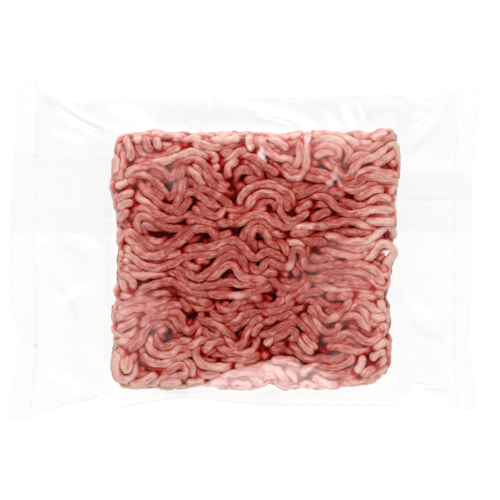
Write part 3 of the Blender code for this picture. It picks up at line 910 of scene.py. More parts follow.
def strands_object(name, runs):
    """One object from many strands, in metres."""
    corner_sets, quads, caps, tones, fats, groove_shades, follows = [], [], [], [], [], [], []
    base = 0
    for number, run in runs:
        made = tube(run, number, RING_STEP[name], RING_SIDES[name], name == "mince_top")
        corner_sets.append(under_film(made[0]))
        quads.append(made[1] + base)
        caps.append(made[2] + base)
        tones.append(made[3])
        fats.append(made[4])
        groove_shades.append(made[5])
        follows.append(made[6])
        base += len(made[0])
    corners, quads, caps = np.vstack(corner_sets) * MM, np.vstack(quads), np.vstack(caps)
    mesh = bpy.data.meshes.new(name)
    mesh.vertices.add(len(corners))
    mesh.vertices.foreach_set("co", corners.ravel())
    mesh.loops.add(quads.size + caps.size)
    mesh.loops.foreach_set("vertex_index", np.concatenate([quads.ravel(), caps.ravel()]))
    mesh.polygons.add(len(quads) + len(caps))
    starts = np.concatenate([np.arange(len(quads)) * 4, quads.size + np.arange(len(caps)) * 3])
    mesh.polygons.foreach_set("loop_start", starts)
    mesh.update(calc_edges=True)
    mesh.validate()
    mesh.shade_smooth()
    for label, values in (("tone", tones), ("fat", fats), ("groove_shade", groove_shades)):
        values = np.concatenate(values)
        mesh.attributes.new(label, "FLOAT", "POINT").data.foreach_set("value", values)
    # Depth under the film, which sets the painted shade of deep strands.
    deep = np.maximum(roof(corners[:, 0] / MM, corners[:, 1] / MM) - corners[:, 2] / MM, 0)
    deep = np.minimum(deep, np.maximum(on_grid(inset, corners[:, 0] / MM, corners[:, 1] / MM), 0) + 1.5)
    mesh.attributes.new("deep", "FLOAT", "POINT").data.foreach_set("value", deep)
    mesh.attributes.new("follow", "FLOAT_VECTOR", "POINT").data.foreach_set("vector", (np.vstack(follows) * MM).ravel())
    obj = bpy.data.objects.new(name, mesh)
    bpy.context.scene.collection.objects.link(obj)
    print(name, "triangles", 2 * len(quads) + len(caps))
    return obj


pieces = {name: strands_object(name, runs) for name, runs in kinds.items()}

# %% [markdown]
# The core is the unseen middle of the heap: a lumpy body of the same mince, well inside the outline and
# under the layers that show. It only closes the view through the gaps.

# %% Core
CORE_INSET = 6.0
CORE_TOP = 21.0
CORE_BASE = 4.0
CORE_ROUND = 5.0


def core_object():
    """Two grids of corners over the inside of the block, joined round their rims."""
    turn = np.linspace(0, 2 * math.pi, 180, endpoint=False)
    middle = outline.mean(axis=0)
    reach = np.linspace(0, 1, 40)
    edge = []
    for angle in turn:
        far = np.arange(20.0, 110.0, 0.5)
        depth = on_grid(inset, middle[0] + far * math.cos(angle), middle[1] + far * math.sin(angle))
        edge.append(far[np.argmax(depth < CORE_INSET)])
    edge = np.array(edge)
    x = middle[0] + reach[:, None] * edge * np.cos(turn)
    y = middle[1] + reach[:, None] * edge * np.sin(turn)
    in_from_edge = (1 - reach[:, None]) * edge
    rounding = CORE_ROUND * np.clip(1 - in_from_edge / CORE_ROUND, 0, 1) ** 2
    lump = 0.7 * waves(x, y, 41, 9) + 0.4 * waves(x, y, 42, 4.5)
    sheets = [(x, y, CORE_TOP - rounding + lump), (x, y, CORE_BASE + rounding + 0 * lump)]
    rows, columns = x.shape
    corners = np.vstack([np.column_stack([part.ravel() for part in sheet]) for sheet in sheets]) * MM
    faces = []
    for row in range(1, rows - 1):
        for column in range(columns):
            after = (column + 1) % columns
            faces.append((row * columns + column, (row + 1) * columns + column, (row + 1) * columns + after, row * columns + after))
    flip = [tuple(rows * columns + v for v in face[::-1]) for face in faces]
    rim = [(k + (rows - 1) * columns, k + (2 * rows - 1) * columns, (k + 1) % columns + (2 * rows - 1) * columns, (k + 1) % columns + (rows - 1) * columns) for k in range(columns)]
    middle_fans = [(0, columns + k, columns + (k + 1) % columns) for k in range(columns)]
    under_fans = [(rows * columns, rows * columns + columns + (k + 1) % columns, rows * columns + columns + k) for k in range(columns)]
    mesh = bpy.data.meshes.new("mince_core")
    mesh.from_pydata(corners.tolist(), [], faces + flip + rim + middle_fans + under_fans)
    mesh.validate()
    mesh.shade_smooth()
    count = len(mesh.vertices)
    # The core gets a fixed painted shade, as a half-shaded groove deep in the heap.
    for label, value in (("tone", 0.0), ("fat", 0.0), ("groove_shade", 0.5), ("deep", 5.0)):
        mesh.attributes.new(label, "FLOAT", "POINT").data.foreach_set("value", np.full(count, value))
    mesh.attributes.new("follow", "FLOAT_VECTOR", "POINT").data.foreach_set("vector", corners.ravel())
    obj = bpy.data.objects.new("mince_core", mesh)
    bpy.context.scene.collection.objects.link(obj)
    return obj


pieces["mince_core"] = core_object()

# %% [markdown]
# ## Materials
# Colours are written as sRGB hex values and turned to linear by one function. One more adds a node to a
# material with its settings and links.

# %% Colour and node helpers


def to_linear(hex_colour):
    """RGBA for a node socket from an sRGB hex value."""
    channels = [int(hex_colour[k : k + 2], 16) / 255 for k in (1, 3, 5)]
    return [c / 12.92 if c <= 0.04045 else ((c + 0.055) / 1.055) ** 2.4 for c in channels] + [1.0]


def new_material(name):
    """A material with an empty node tree, and its output node."""
    made = bpy.data.materials.new(name)
    made.use_nodes = True
    made.node_tree.nodes.clear()
    return made, made.node_tree.nodes.new("ShaderNodeOutputMaterial")


def add_node(material, kind, settings=None, **inputs):
    """Adds a node: settings are its own properties, inputs are values or the sockets that feed them."""
    tree = material.node_tree
    made = tree.nodes.new("ShaderNode" + kind)
    for key, value in (settings or {}).items():
        setattr(made, key, value)
    for key, value in inputs.items():
        name = key.replace("_", " ")
        socket = made.inputs[int(key[2:])] if key.startswith("in") and key[2:].isdigit() else made.inputs[name]
        if isinstance(value, bpy.types.NodeSocket):
            tree.links.new(value, socket)
        else:
            socket.default_value = value
    return made


def set_ramp(ramp, stops):
    """Colour stops of a ramp: (position, colour)."""
    elements = ramp.color_ramp.elements
    while len(elements) < len(stops):
        elements.new(0.5)
    for element, (position, colour) in zip(elements, stops):
        element.position = position
        element.color = to_linear(colour)


# %% [markdown]
# Raw mince is wet and soft. Light goes about a millimetre into it and comes out redder, so subsurface
# scattering gives the glow in the grooves. Shade and light are painted into the colour as well: grooves
# and strands deep under the film are painted darker and redder, the middle of the block darker, and the
# strands near its rim paler, as if lit. The mince's own colour is a mottle of lean scraps, about 1 to
# 3 mm, and flecks of white fat, 0.3 to 1 mm, that were drawn out along the strand as it left the plate.

# %% Raw mince
# Colours of the lean, darkest to palest. The palest is reached only where light is painted into the tone near the rim.
LEAN_RED = "#aa4b42"
LEAN = "#c7776d"
LEAN_PALE = "#d59e94"
LEAN_PAINTED_RIM_LIGHT = "#e2bbb0"
FAT_FLECK = "#e6c2b9"
FAT_STRAND = "#dfb0a5"
GROOVE_SHADE_STOPS = ((0.06, "#ffffff"), (0.26, "#f6b3a8"), (0.46, "#e86b5f"), (0.68, "#c62a23"), (0.92, "#940a0a"))
PIT_SHADE = "#a0080b"


def mince_material(name):
    made, output = new_material(name)
    follow = add_node(made, "Attribute", {"attribute_name": "follow"}).outputs["Vector"]
    tone = add_node(made, "Attribute", {"attribute_name": "tone"}).outputs["Fac"]
    fat = add_node(made, "Attribute", {"attribute_name": "fat"}).outputs["Fac"]
    deep = add_node(made, "Attribute", {"attribute_name": "deep"}).outputs["Fac"]
    groove_shade = add_node(made, "Attribute", {"attribute_name": "groove_shade"}).outputs["Fac"]
    long_space = add_node(made, "Mapping", Vector=follow, Scale=(180, 500, 500)).outputs["Vector"]
    drift = add_node(made, "TexNoise", Vector=long_space, Scale=1.0, Detail=2.0, Roughness=0.5)
    toned = add_node(made, "Math", {"operation": "MULTIPLY_ADD"}, in0=tone, in1=0.07, in2=drift.outputs["Fac"])
    lean = add_node(made, "ValToRGB", Fac=toned.outputs[0])
    set_ramp(lean, ((0.34, LEAN_RED), (0.50, LEAN), (0.66, LEAN_PALE), (0.82, LEAN_PAINTED_RIM_LIGHT)))
    smear_space = add_node(made, "Mapping", Vector=follow, Scale=(300, 620, 620)).outputs["Vector"]
    smears = add_node(made, "TexNoise", Vector=smear_space, Scale=1.0, Detail=3.0, Roughness=0.6)
    smear_mask = add_node(made, "MapRange", Value=smears.outputs["Fac"], From_Min=0.50, From_Max=0.78, To_Max=0.55)
    smeared = add_node(made, "MixRGB", Fac=smear_mask.outputs[0], Color1=lean.outputs[0], Color2=to_linear(FAT_FLECK))
    fleck_space = add_node(made, "Mapping", Vector=follow, Scale=(800, 1200, 1200)).outputs["Vector"]
    flecks = add_node(made, "TexNoise", Vector=fleck_space, Scale=1.0, Detail=1.5, Roughness=0.5)
    fleck_mask = add_node(made, "MapRange", Value=flecks.outputs["Fac"], From_Min=0.46, From_Max=0.80, To_Max=0.24)
    flecked = add_node(made, "MixRGB", Fac=fleck_mask.outputs[0], Color1=smeared.outputs[0], Color2=to_linear(FAT_FLECK))
    fat_mask = add_node(made, "Math", {"operation": "MULTIPLY", "use_clamp": True}, in0=fat, in1=0.75)
    fatty = add_node(made, "MixRGB", Fac=fat_mask.outputs[0], Color1=flecked.outputs[0], Color2=to_linear(FAT_STRAND))
    # Painted shade in the grooves, multiplied into the colour.
    shade = add_node(made, "ValToRGB", Fac=groove_shade)
    set_ramp(shade, GROOVE_SHADE_STOPS)
    groove_shaded = add_node(made, "MixRGB", {"blend_type": "MULTIPLY"}, Fac=1.0, Color1=fatty.outputs[0], Color2=shade.outputs[0])
    # Painted shade: strands deep under the film are mixed towards a dark red.
    pit_shade_mask = add_node(made, "MapRange", Value=deep, From_Min=5.0, From_Max=12.0, To_Max=0.85)
    colour = add_node(made, "MixRGB", Fac=pit_shade_mask.outputs[0], Color1=groove_shaded.outputs[0], Color2=to_linear(PIT_SHADE))
    grain = add_node(made, "TexNoise", Vector=follow, Scale=1400.0, Detail=2.0)
    lumps = add_node(made, "TexNoise", Vector=follow, Scale=520.0, Detail=1.0)
    height = add_node(made, "Math", {"operation": "MULTIPLY_ADD"}, in0=lumps.outputs["Fac"], in1=1.6, in2=grain.outputs["Fac"])
    bump = add_node(made, "Bump", Height=height.outputs[0], Strength=0.4, Distance=0.3 * MM)
    surface = add_node(made, "BsdfPrincipled", Base_Color=colour.outputs[0], Normal=bump.outputs[0])
    surface.inputs["Roughness"].default_value = 0.4
    surface.inputs["IOR"].default_value = 1.38
    surface.inputs["Specular IOR Level"].default_value = 0.22
    surface.inputs["Subsurface Weight"].default_value = 0.4
    surface.inputs["Subsurface Radius"].default_value = (1.0, 0.22, 0.16)
    surface.inputs["Subsurface Scale"].default_value = 1.2 * MM
    made.node_tree.links.new(surface.outputs[0], output.inputs["Surface"])
    return made


mince = mince_material("raw_mince")
for piece in pieces.values():
    piece.data.materials.append(mince)
print("mince material nodes:", len(mince.node_tree.nodes))

# %% [markdown]
# ## The film bag
# A flow-wrap machine folds flat film round the block, seals its long edges together into a fin that is
# folded flat against the underside, and crimps each end between ribbed jaws. The bag is one piece of
# film: a top sheet and an under sheet that share the two folded edges and the seals. Its outline is that
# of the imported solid. The top sheet is a stretched skin: it lies on the strands where they are high and
# spans the rest, so it is found by relaxing a grid of heights that may not go below the mince.

# %% Outline of the bag, in mm
TOP_EDGE = ((-118, 85), (-104, 85), (-84, 75.5), (0, 76.5), (88, 78.5), (107, 82.5), (118, 82.5))
BOTTOM_EDGE = ((-118, -85), (-100, -84.5), (-26, -74.5), (12, -78), (96, -78.5), (118, -80.5))
LEFT_OUTER = ((-85, -118), (-47, -113.5), (-20, -117.2), (25, -117.2), (85, -113))
LEFT_INNER = ((-85, -107), (-48, -103.8), (8, -105), (85, -104))
RIGHT_INNER = ((-82, 107.5), (-45, 106), (8, 106), (82, 108))
RIGHT_OUTER = ((-82, 117.6), (-45, 114.2), (20, 115.5), (82, 118))
WING_HALF_WIDTH = 85.0
SEAL_HEIGHT = 10.5
SEAL_WAVE = 1.6
FIN_ROOT_Y = 8.5
FIN_FREE_Y = ((-118, 49), (118, 38))
RIBS_PER_SEAL = 5
RIB_HEIGHT = 0.28
ROWS_PER_SEAL = 30
BODY_ROWS = 215
FILM_COLUMNS = 165


def eased(t):
    """0 to 1 with a level start and finish."""
    t = np.clip(t, 0, 1)
    return t * t * (3 - 2 * t)


def along(line, at):
    """Height of a line given by a few points, eased between them."""
    at = np.asarray(at, float)
    result = np.full(at.shape, float(line[-1][1]))
    for (start, low), (end, high) in reversed(list(zip(line, line[1:]))):
        result = np.where(at <= end, low + (high - low) * eased((at - start) / (end - start)), result)
    return result


def edge_height(x, y):
    """Middle height of the bag's rim: the seals stand higher than the folded edges, and both wave."""
    towards_end = eased((np.abs(x) - 60) / 45)
    fold = SEAL_HEIGHT * 0.62
    wave = SEAL_WAVE * (np.sin(y / 17 + 1.2) + 0.4 * np.sin(x / 21))
    return fold + (SEAL_HEIGHT - fold) * towards_end + wave * (0.4 + 0.6 * towards_end)


share = np.concatenate([np.arange(ROWS_PER_SEAL) / ROWS_PER_SEAL, np.arange(BODY_ROWS) / BODY_ROWS, np.arange(ROWS_PER_SEAL + 1) / ROWS_PER_SEAL])
zone = np.repeat([0, 1, 2], [ROWS_PER_SEAL, BODY_ROWS, ROWS_PER_SEAL + 1])
across = np.arange(FILM_COLUMNS + 1) / FILM_COLUMNS
across = across - 0.05 * np.sin(2 * math.pi * across)
share, across = share[:, None], across[None, :]
film_y = (across - 0.5) * 2 * WING_HALF_WIDTH + 0 * share
for _ in range(4):
    lines = [along(line, film_y) for line in (LEFT_OUTER, LEFT_INNER, RIGHT_INNER, RIGHT_OUTER)]
    start = np.choose(zone[:, None], lines[:3])
    end = np.choose(zone[:, None], lines[1:])
    film_x = start + (end - start) * share
    low, high = along(BOTTOM_EDGE, film_x), along(TOP_EDGE, film_x)
    film_y = low + (high - low) * across
print("film rows and columns:", film_x.shape, "span", np.ptp(film_x).round(1), np.ptp(film_y).round(1), "mm")

# %% Relax the top sheet over the mince
SKIN_STEP = 1.0
SKIN_HALF_X, SKIN_HALF_Y = 120, 88
FILM_GAP = 0.15
RELAX_ROUNDS = 900
TENT_TOP = 27.0
TENT_FULLNESS = 1.18
skin_x, skin_y = np.meshgrid(np.arange(-SKIN_HALF_X, SKIN_HALF_X + 1.0), np.arange(-SKIN_HALF_Y, SKIN_HALF_Y + 1.0), indexing="ij")
mince_top = np.full(skin_x.shape, -1.0)
for name in ("mince_top", "mince_second", "mince_sides"):
    corners = np.empty(len(pieces[name].data.vertices) * 3)
    pieces[name].data.vertices.foreach_get("co", corners)
    corners = corners.reshape(-1, 3) / MM
    i = np.round(corners[:, 0] + SKIN_HALF_X).astype(int)
    j = np.round(corners[:, 1] + SKIN_HALF_Y).astype(int)
    np.maximum.at(mince_top, (i, j), corners[:, 2])
inner = (skin_x > along(LEFT_INNER, skin_y)) & (skin_x < along(RIGHT_INNER, skin_y))
inner &= (skin_y > along(BOTTOM_EDGE, skin_x)) & (skin_y < along(TOP_EDGE, skin_x))
inner[0, :] = inner[-1, :] = inner[:, 0] = inner[:, -1] = False
rim = edge_height(skin_x, skin_y) + 0.5
skin = np.where(inner, np.maximum(rim, mince_top + FILM_GAP), rim)
from_seal = np.minimum(skin_x - along(LEFT_INNER, skin_y), along(RIGHT_INNER, skin_y) - skin_x)
from_fold = np.minimum(along(TOP_EDGE, skin_x) - skin_y, skin_y - along(BOTTOM_EDGE, skin_x))
room_to_rim = np.maximum(np.minimum(from_seal, from_fold), 0)
from_block = np.maximum(-inside_outline(outline, skin_x, skin_y), 0)
way_out = from_block / np.maximum(from_block + room_to_rim, 0.01)
tent = rim + (TENT_TOP - rim) * np.clip(1 - way_out, 0, 1) ** TENT_FULLNESS
skin = np.where(inner, np.maximum(skin, tent), rim)
mince_top = np.where(inner & (from_block > 0.5), np.maximum(mince_top, tent), mince_top)
for _ in range(RELAX_ROUNDS):
    mean = (np.roll(skin, 1, 0) + np.roll(skin, -1, 0) + np.roll(skin, 1, 1) + np.roll(skin, -1, 1)) / 4
    skin = np.where(inner, np.maximum(mean, mince_top + FILM_GAP), rim)
off_mince = np.where(mince_top > 0, skin - mince_top - FILM_GAP, 9.0)
print("film over mince: highest", skin.max().round(2), "touching share", float((off_mince[mince_top > 0] < 0.05).mean()))

# %% [markdown]
# A sheet that was bent round a block and pinched at its ends can't stay smooth. Tension folds run from
# the corners of the block to the seals, and the slack over the long edges buckles. Each fold is a soft
# ridge along a drawn line: its height, its half width, then the line's points, all in mm.

# %% Folds in the film
FOLDS = (
    (2.2, 2.5, -103, 83, -92, 76, -80, 68, -66, 62, -54, 58.5),
    (-1.6, 3.0, -100, 78, -84, 68, -68, 60),
    (1.0, 1.2, -104, 9, -97, 4, -88, -4),
    (0.9, 1.5, -86, 9, -78, 4, -70, -1),
    (0.8, 1.2, -104, 47, -90, 42, -72, 40),
    (1.2, 2.0, -104, -48, -92, -44, -78, -38),
    (-0.8, 1.5, -103, -54, -92, -52, -76, -44),
    (1.3, 2.2, -104, -76, -90, -71, -72, -66),
    (1.0, 1.6, -100, -30, -86, -26, -72, -16),
    (0.8, 1.3, -99, -12, -88, -20, -76, -30),
    (1.4, 2.2, 107, 78, 98, 70, 84, 60),
    (-1.0, 2.2, 104, 66, 94, 60, 82, 50),
    (0.9, 1.2, 106, 8, 98, 5, 84, 3),
    (0.8, 1.2, 106, 38, 96, 36, 82, 31),
    (1.1, 1.6, 106, -46, 96, -44, 80, -40),
    (0.9, 1.4, 107, -71, 94, -66, 78, -62),
    (0.8, 1.5, 105, -20, 94, -18, 80, -10),
    (1.5, 2.0, -64, 73, -54, 68, -46, 61),
    (1.7, 2.0, -6, 75, 8, 70, 20, 66, 34, 61),
    (1.2, 1.4, 50, 74, 53, 68, 55, 61),
    (0.9, 1.1, -17, 76, -16.5, 70),
    (1.0, 1.3, 60, 76, 63, 69, 70, 62),
    (0.8, 1.1, 30, 75, 37, 68, 41, 61),
    (1.0, 1.3, -36, 75, -30, 68, -24, 61),
    (1.6, 2.6, -100, -80, -84, -77, -66, -74),
    (1.0, 1.4, 30, -77, 36, -73, 46, -70),
    (1.0, 1.4, -30, -73, -20, -71, -8, -72),
    (0.35, 0.5, 8.5, 53, 10.5, 48, 11.5, 44),
    (0.3, 0.5, 4.5, 12, 4.3, 6, 4.8, -1),
    (0.35, 0.5, -29.5, 18, -28, 15, -28.5, 11),
    (0.35, 0.5, 59.3, 16, 58.8, 9, 59.3, 4),
    (0.5, 0.8, 31, 60, 32, 55, 32, 51),
    (0.35, 0.5, 54, -5, 53, -12, 51, -19),
)


def along_lines(lines, x, y):
    """Sum of soft ridges along drawn lines. Each fades in and out along its line."""
    total = np.zeros_like(x)
    for drawn_line in lines:
        height, half_width = drawn_line[:2]
        line = smooth_line(np.array(drawn_line[2:]).reshape(-1, 2), 0.5 * half_width)
        nearest = np.full(x.shape, 1e9)
        taper = np.zeros_like(x)
        for number, (lx, ly) in enumerate(line):
            away = (x - lx) ** 2 + (y - ly) ** 2
            closer = away < nearest
            nearest[closer] = away[closer]
            taper[closer] = math.sin(math.pi * min(max(number / (len(line) - 1), 0.03), 0.97)) ** 0.6
        total += height * taper * np.exp(-nearest / (half_width**2))
    return total


def sampled(values, x, y):
    """A skin grid's values at places between its points."""
    i = np.clip(x + SKIN_HALF_X, 0, values.shape[0] - 1.001)
    j = np.clip(y + SKIN_HALF_Y, 0, values.shape[1] - 1.001)
    a, b = i.astype(int), j.astype(int)
    u, v = i - a, j - b
    low = values[a, b] * (1 - u) + values[a + 1, b] * u
    high = values[a, b + 1] * (1 - u) + values[a + 1, b + 1] * u
    return low * (1 - v) + high * v


in_wing = eased(room_to_rim / 4) * eased(from_block / 5)
wrinkles = 0.5 * waves(skin_x, skin_y, 61, 17) + 0.22 * waves(skin_x, skin_y, 62, 7)
skin += inner * (along_lines(FOLDS, skin_x, skin_y) * eased(room_to_rim / 3) + wrinkles * in_wing)
skin = np.where(inner & (from_block < 0.5), np.maximum(skin, mince_top + FILM_GAP), skin)
skin = np.minimum(skin, 33.2)

foot = np.maximum(5 - inside_outline(outline, skin_x, skin_y), 0)
under_share = foot / np.maximum(foot + room_to_rim, 0.01)
under = 0.2 + (rim - 1.0) * np.clip(under_share, 0, 1) ** 1.7
under += inner * 0.35 * in_wing * np.minimum(under_share * 3, 1) * (waves(skin_x, skin_y, 71, 21) + 0.5 * waves(skin_x, skin_y, 72, 8))
under = np.maximum(under, 0.2)

# %% Sheets of the bag
rib_number = np.where(zone[:, None] == 0, (1 - share) * RIBS_PER_SEAL, np.where(zone[:, None] == 2, share * RIBS_PER_SEAL, 0))
rib = RIB_HEIGHT * np.sin(2 * math.pi * rib_number) + 0.06 * np.sin(2 * math.pi * 3 * rib_number)
in_seal = (zone != 1)[:, None]
seal_middle = edge_height(film_x, film_y) + rib + 0.12 * waves(film_x, film_y, 81, 9)
rim_here = (across == 0) | (across == 1)
top_z = np.where(in_seal, seal_middle + 0.15, sampled(skin, film_x, film_y))
under_z = np.where(in_seal, seal_middle - 0.15, np.minimum(sampled(under, film_x, film_y), top_z - 0.1))
closing = (share == 0) & (zone == 0)[:, None] | (share == 1) & (zone == 2)[:, None]
shut = rim_here | closing | ((share == 0) & (zone == 1)[:, None])
middle = edge_height(film_x, film_y)
top_z = np.where(rim_here | closing, middle, top_z)
under_z = np.where(rim_here | closing, middle - 0.02, under_z)
print("top sheet", top_z.min().round(2), top_z.max().round(2), "under sheet", under_z.min().round(2), under_z.max().round(2))


def grid_mesh(name, sheets, attributes):
    """One mesh from sheets of (x, y, z) grids with the same shape."""
    rows, columns = sheets[0][0].shape
    corners = np.vstack([np.column_stack([part.ravel() for part in sheet]) for sheet in sheets]) * MM
    a = (np.arange(rows - 1)[:, None] * columns + np.arange(columns - 1)).ravel()
    quads = np.column_stack([a, a + columns, a + columns + 1, a + 1])
    all_quads = [quads if number == 0 else quads[:, ::-1] + number * rows * columns for number in range(len(sheets))]
    all_quads = np.vstack(all_quads)
    mesh = bpy.data.meshes.new(name)
    mesh.from_pydata(corners.tolist(), [], all_quads.tolist())
    mesh.shade_smooth()
    for label, values in attributes.items():
        mesh.attributes.new(label, "FLOAT", "POINT").data.foreach_set("value", values.ravel())
    obj = bpy.data.objects.new(name, mesh)
    bpy.context.scene.collection.objects.link(obj)
    print(name, "triangles", 2 * len(all_quads))
    return obj


# %% [markdown]
# Over the meat the film is clear where it clings, with a few patches where slack film catches the light.
# These reflections are painted on the mesh as a glowing whitish layer: each patch is an ellipse with its
# place, half sizes, turn in degrees and strength, and a broad one lies over the near side of the block.
# A little more is painted where the film stands off the mince. The sharper glints are painted highlights
# given as outlines, and each starts with its strength.

# %% Painted reflections on the film
SLACK_EDGE = ((-26, -71), (-19, -66), (-12, -62), (-5, -59), (5, -57), (13, -54.5), (24, -55), (31, -57), (40, -59.5), (62, -65))
SLACK_FADE = (36, 64)
SLACK_REFLECTION = 0.21
REFLECTION_PATCHES = (
    (-33, 36, 6, 8, 20, 0.09), (49, 42, 6, 5, 0, 0.07), (50, 2.5, 9, 3, 0, 0.09), (-43, -2.5, 4, 3, 0, 0.06),
    (50, -23, 3, 2, 0, 0.09), (-38, -43.5, 3, 3, 0, 0.05), (47, -52.5, 4, 2, 0, 0.09), (9.5, -58, 4, 2, 0, 0.07),
    (54, -6.5, 2.2, 1.6, 0, 0.16),
    (61, -8, 1.5, 1, 0, 0.16), (-47, -33.5, 1.4, 2.6, 0, 0.09),
    (-52, -36, 15, 17, 0, 0.09), (-45, 42, 16, 12, 0, 0.05), (42, 50, 26, 12, 0, 0.07), (52, -38, 20, 14, 0, 0.04),
    (45, -14, 20, 14, 0, 0.06), (0, 58, 62, 3.5, 0, 0.10), (-64, -5, 2.5, 60, 0, 0.07), (-58, -58, 9, 8, 0, 0.05),
    (62, -62, 14, 5, 0, 0.06),
)


# Painted highlights: sharp glints on the film given as outlines. The last is a painted white patch for the floor seen
# through a small hole in the heap.
GLINTS = (
    (0.36, 9.3, 53, 12, 43.8, 9.5, 45.5, 6.8, 47.5),
    (0.27, 2.6, 53, 4.6, 52.5, 4.2, 49.5, 2.8, 50.5),
    (0.26, 29.3, 60.5, 34.5, 60.5, 33.8, 55, 32, 50.5, 30.5, 55),
    (0.22, 26.5, 12.6, 31, 13.4, 35.5, 12.4, 35, 10.6, 30, 11.4, 27, 11),
    (0.22, 43.5, 38.5, 46, 39.5, 50.5, 31, 48.5, 32, 46.5, 35.5, 44, 35),
    (0.18, 41, 35, 45, 35.5, 45.5, 32.5, 42, 31.5),
    (0.85, 69.8, -0.8, 73.2, -0.4, 71.8, -2.8),
)


def veil_strength(x, y):
    """Strength of the painted reflection on the film, from 0 to 1."""
    total = np.zeros_like(x)
    for glint in GLINTS:
        inside = inside_outline(np.array(glint[1:], float).reshape(-1, 2), x, y)
        total = np.maximum(total, glint[0] * eased((inside + 0.4) / 0.8))
    for vx, vy, half_x, half_y, turn, strength in REFLECTION_PATCHES:
        c, s = math.cos(math.radians(turn)), math.sin(math.radians(turn))
        u = ((x - vx) * c + (y - vy) * s) / half_x
        v = (-(x - vx) * s + (y - vy) * c) / half_y
        total = np.maximum(total, strength * np.exp(-((u * u + v * v) ** 2)))
    below_edge = eased((np.interp(x, *zip(*SLACK_EDGE)) - y) / 0.8)
    fading = 1 - eased((x - SLACK_FADE[0]) / (SLACK_FADE[1] - SLACK_FADE[0]))
    over_block = eased(1 - sampled(from_block, x, y) / 1.5)
    return np.maximum(total, SLACK_REFLECTION * below_edge * fading * over_block * (x > SLACK_EDGE[0][0]))


# Painted highlights along folds and edges of the film, each as strength, half width, then a line's points in mm.
GLARES = (
    (0.13, 1.0, -102, 82.5, -92, 75.5, -83, 69.5, -74, 65, -66, 62, -56, 60),
    (0.12, 3.0, -68, 70.5, -58, 69, -50, 65.5, -45, 61),
    (0.12, 2.8, -7, 75, 6, 71.5, 18, 68.5, 29, 65.5, 36, 61),
    (0.11, 1.5, 50, 73, 52.5, 68, 55, 61),
    (0.10, 1.0, 58, 74, 59.5, 69, 60.5, 65),
    (0.12, 0.8, -16.5, 75.5, -16.5, 71),
    (0.08, 1.2, 40, 70, 44, 66.5, 47, 62),
    (0.10, 1.6, -103, -83.5, -86, -79.5, -76, -77, -65, -74),
    (0.10, 0.8, -104.8, 9.6, -101, 6.5, -98, 4.4),
    (0.07, 1.2, -86, 9, -79, 4.5, -71, 0),
    (0.12, 0.7, 102.8, -44, 105.6, -47.2),
    (0.05, 2.0, -98, 62, -88, 57, -78, 54),
    (0.05, 1.6, 100, 70, 92, 62, 85, 56),
    (0.06, 1.4, 84, -70, 94, -74, 104, -79),
    (0.05, 2.2, -96, -30, -86, -22, -74, -18),
    (0.05, 2.0, -100, -62, -90, -64, -78, -70),
    (0.05, 1.8, 82, -22, 90, -30, 99, -34),
)
SHADES = (
    (0.09, 0.9, -100, 79, -91, 72.5, -82, 66.5, -72, 61.5, -64, 58),
    (0.06, 0.8, -103, 79, -96, 73, -90, 68.5),
    (0.07, 7.0, -78, 68, -40, 69, 0, 69, 50, 69, 88, 70),
    (0.05, 3.0, -58, -71, -20, -71, 20, -71.5, 62, -71),
    (0.10, 0.8, -4, 72.5, 8, 68.5, 20, 65.5, 30, 62),
    (0.05, 2.4, -67.5, 52, -66.5, 20, -65.5, 0, -66.5, -30, -67.5, -62),
    (0.14, 1.3, -42, -70.3, -34, -70.5, -26, -72),
    (0.20, 0.7, -105.4, -46.8, -103.8, -49),
    (0.07, 1.4, -100, -81, -84, -76.5, -68, -72.5),
    (0.05, 1.5, -96, -12, -88, -24, -80, -38),
    (0.05, 1.6, -76, -8, -84, 0, -92, 2),
    (0.06, 1.0, 79.5, 26, 92, 26, 104, 26),
    (0.05, 1.8, 96, 60, 88, 52, 82, 48),
    (0.06, 1.2, 84, -66, 94, -69, 105, -72),
    (0.05, 1.6, 82, -34, 92, -42, 103, -45),
)
FAR_SHADE = 0.03
# Painted reflection: a little more where the film stands off the mince, and painted highlights along the folds.
stands_off = np.clip(sampled(off_mince, film_x, film_y), 0, 3) * (sampled(from_block, film_x, film_y) < 0.5)
over_mince = 0.0006 * stands_off * ~in_seal
top_veil = veil_strength(film_x, film_y) * (0.8 + 0.2 * waves(film_x, film_y, 91, 12)) + over_mince
top_veil += along_lines(GLARES, film_x, film_y)
shade = along_lines(SHADES, film_x, film_y) + FAR_SHADE * eased((film_y - 40) / 15) * ~in_seal
rim_mm = np.minimum(film_x - along(LEFT_OUTER, film_y), along(RIGHT_OUTER, film_y) - film_x)
rim_mm = np.minimum(rim_mm, np.minimum(along(TOP_EDGE, film_x) - film_y, film_y - along(BOTTOM_EDGE, film_x)))
seam_mm = np.maximum(along(LEFT_INNER, film_y) - film_x, film_x - along(RIGHT_INNER, film_y))
wing = np.clip(sampled(from_block, film_x, film_y) / 4, 0, 1)


def both(values):
    """The same values for the top sheet and the under sheet."""
    return np.stack([values, values])


film_bag = grid_mesh(
    "film_wrap",
    [(film_x, film_y, top_z), (film_x, film_y, under_z)],
    {
        "veil": np.stack([top_veil, 0 * top_veil]),
        "shade": np.stack([shade, 0 * shade]),
        "rim_mm": both(rim_mm),
        "seam_mm": both(seam_mm),
        "across_mm": both(seam_mm),
        "along_mm": both(film_y),
        "grainy": both(eased(seam_mm / 0.8)),
        "wing": both(wing),
    },
)

# %% [markdown]
# The fin is the lengthwise seam: two layers of film sealed face to face and folded flat against the
# underside. It shows through the clear wings as a greyer band with a few fine ribs by its root.

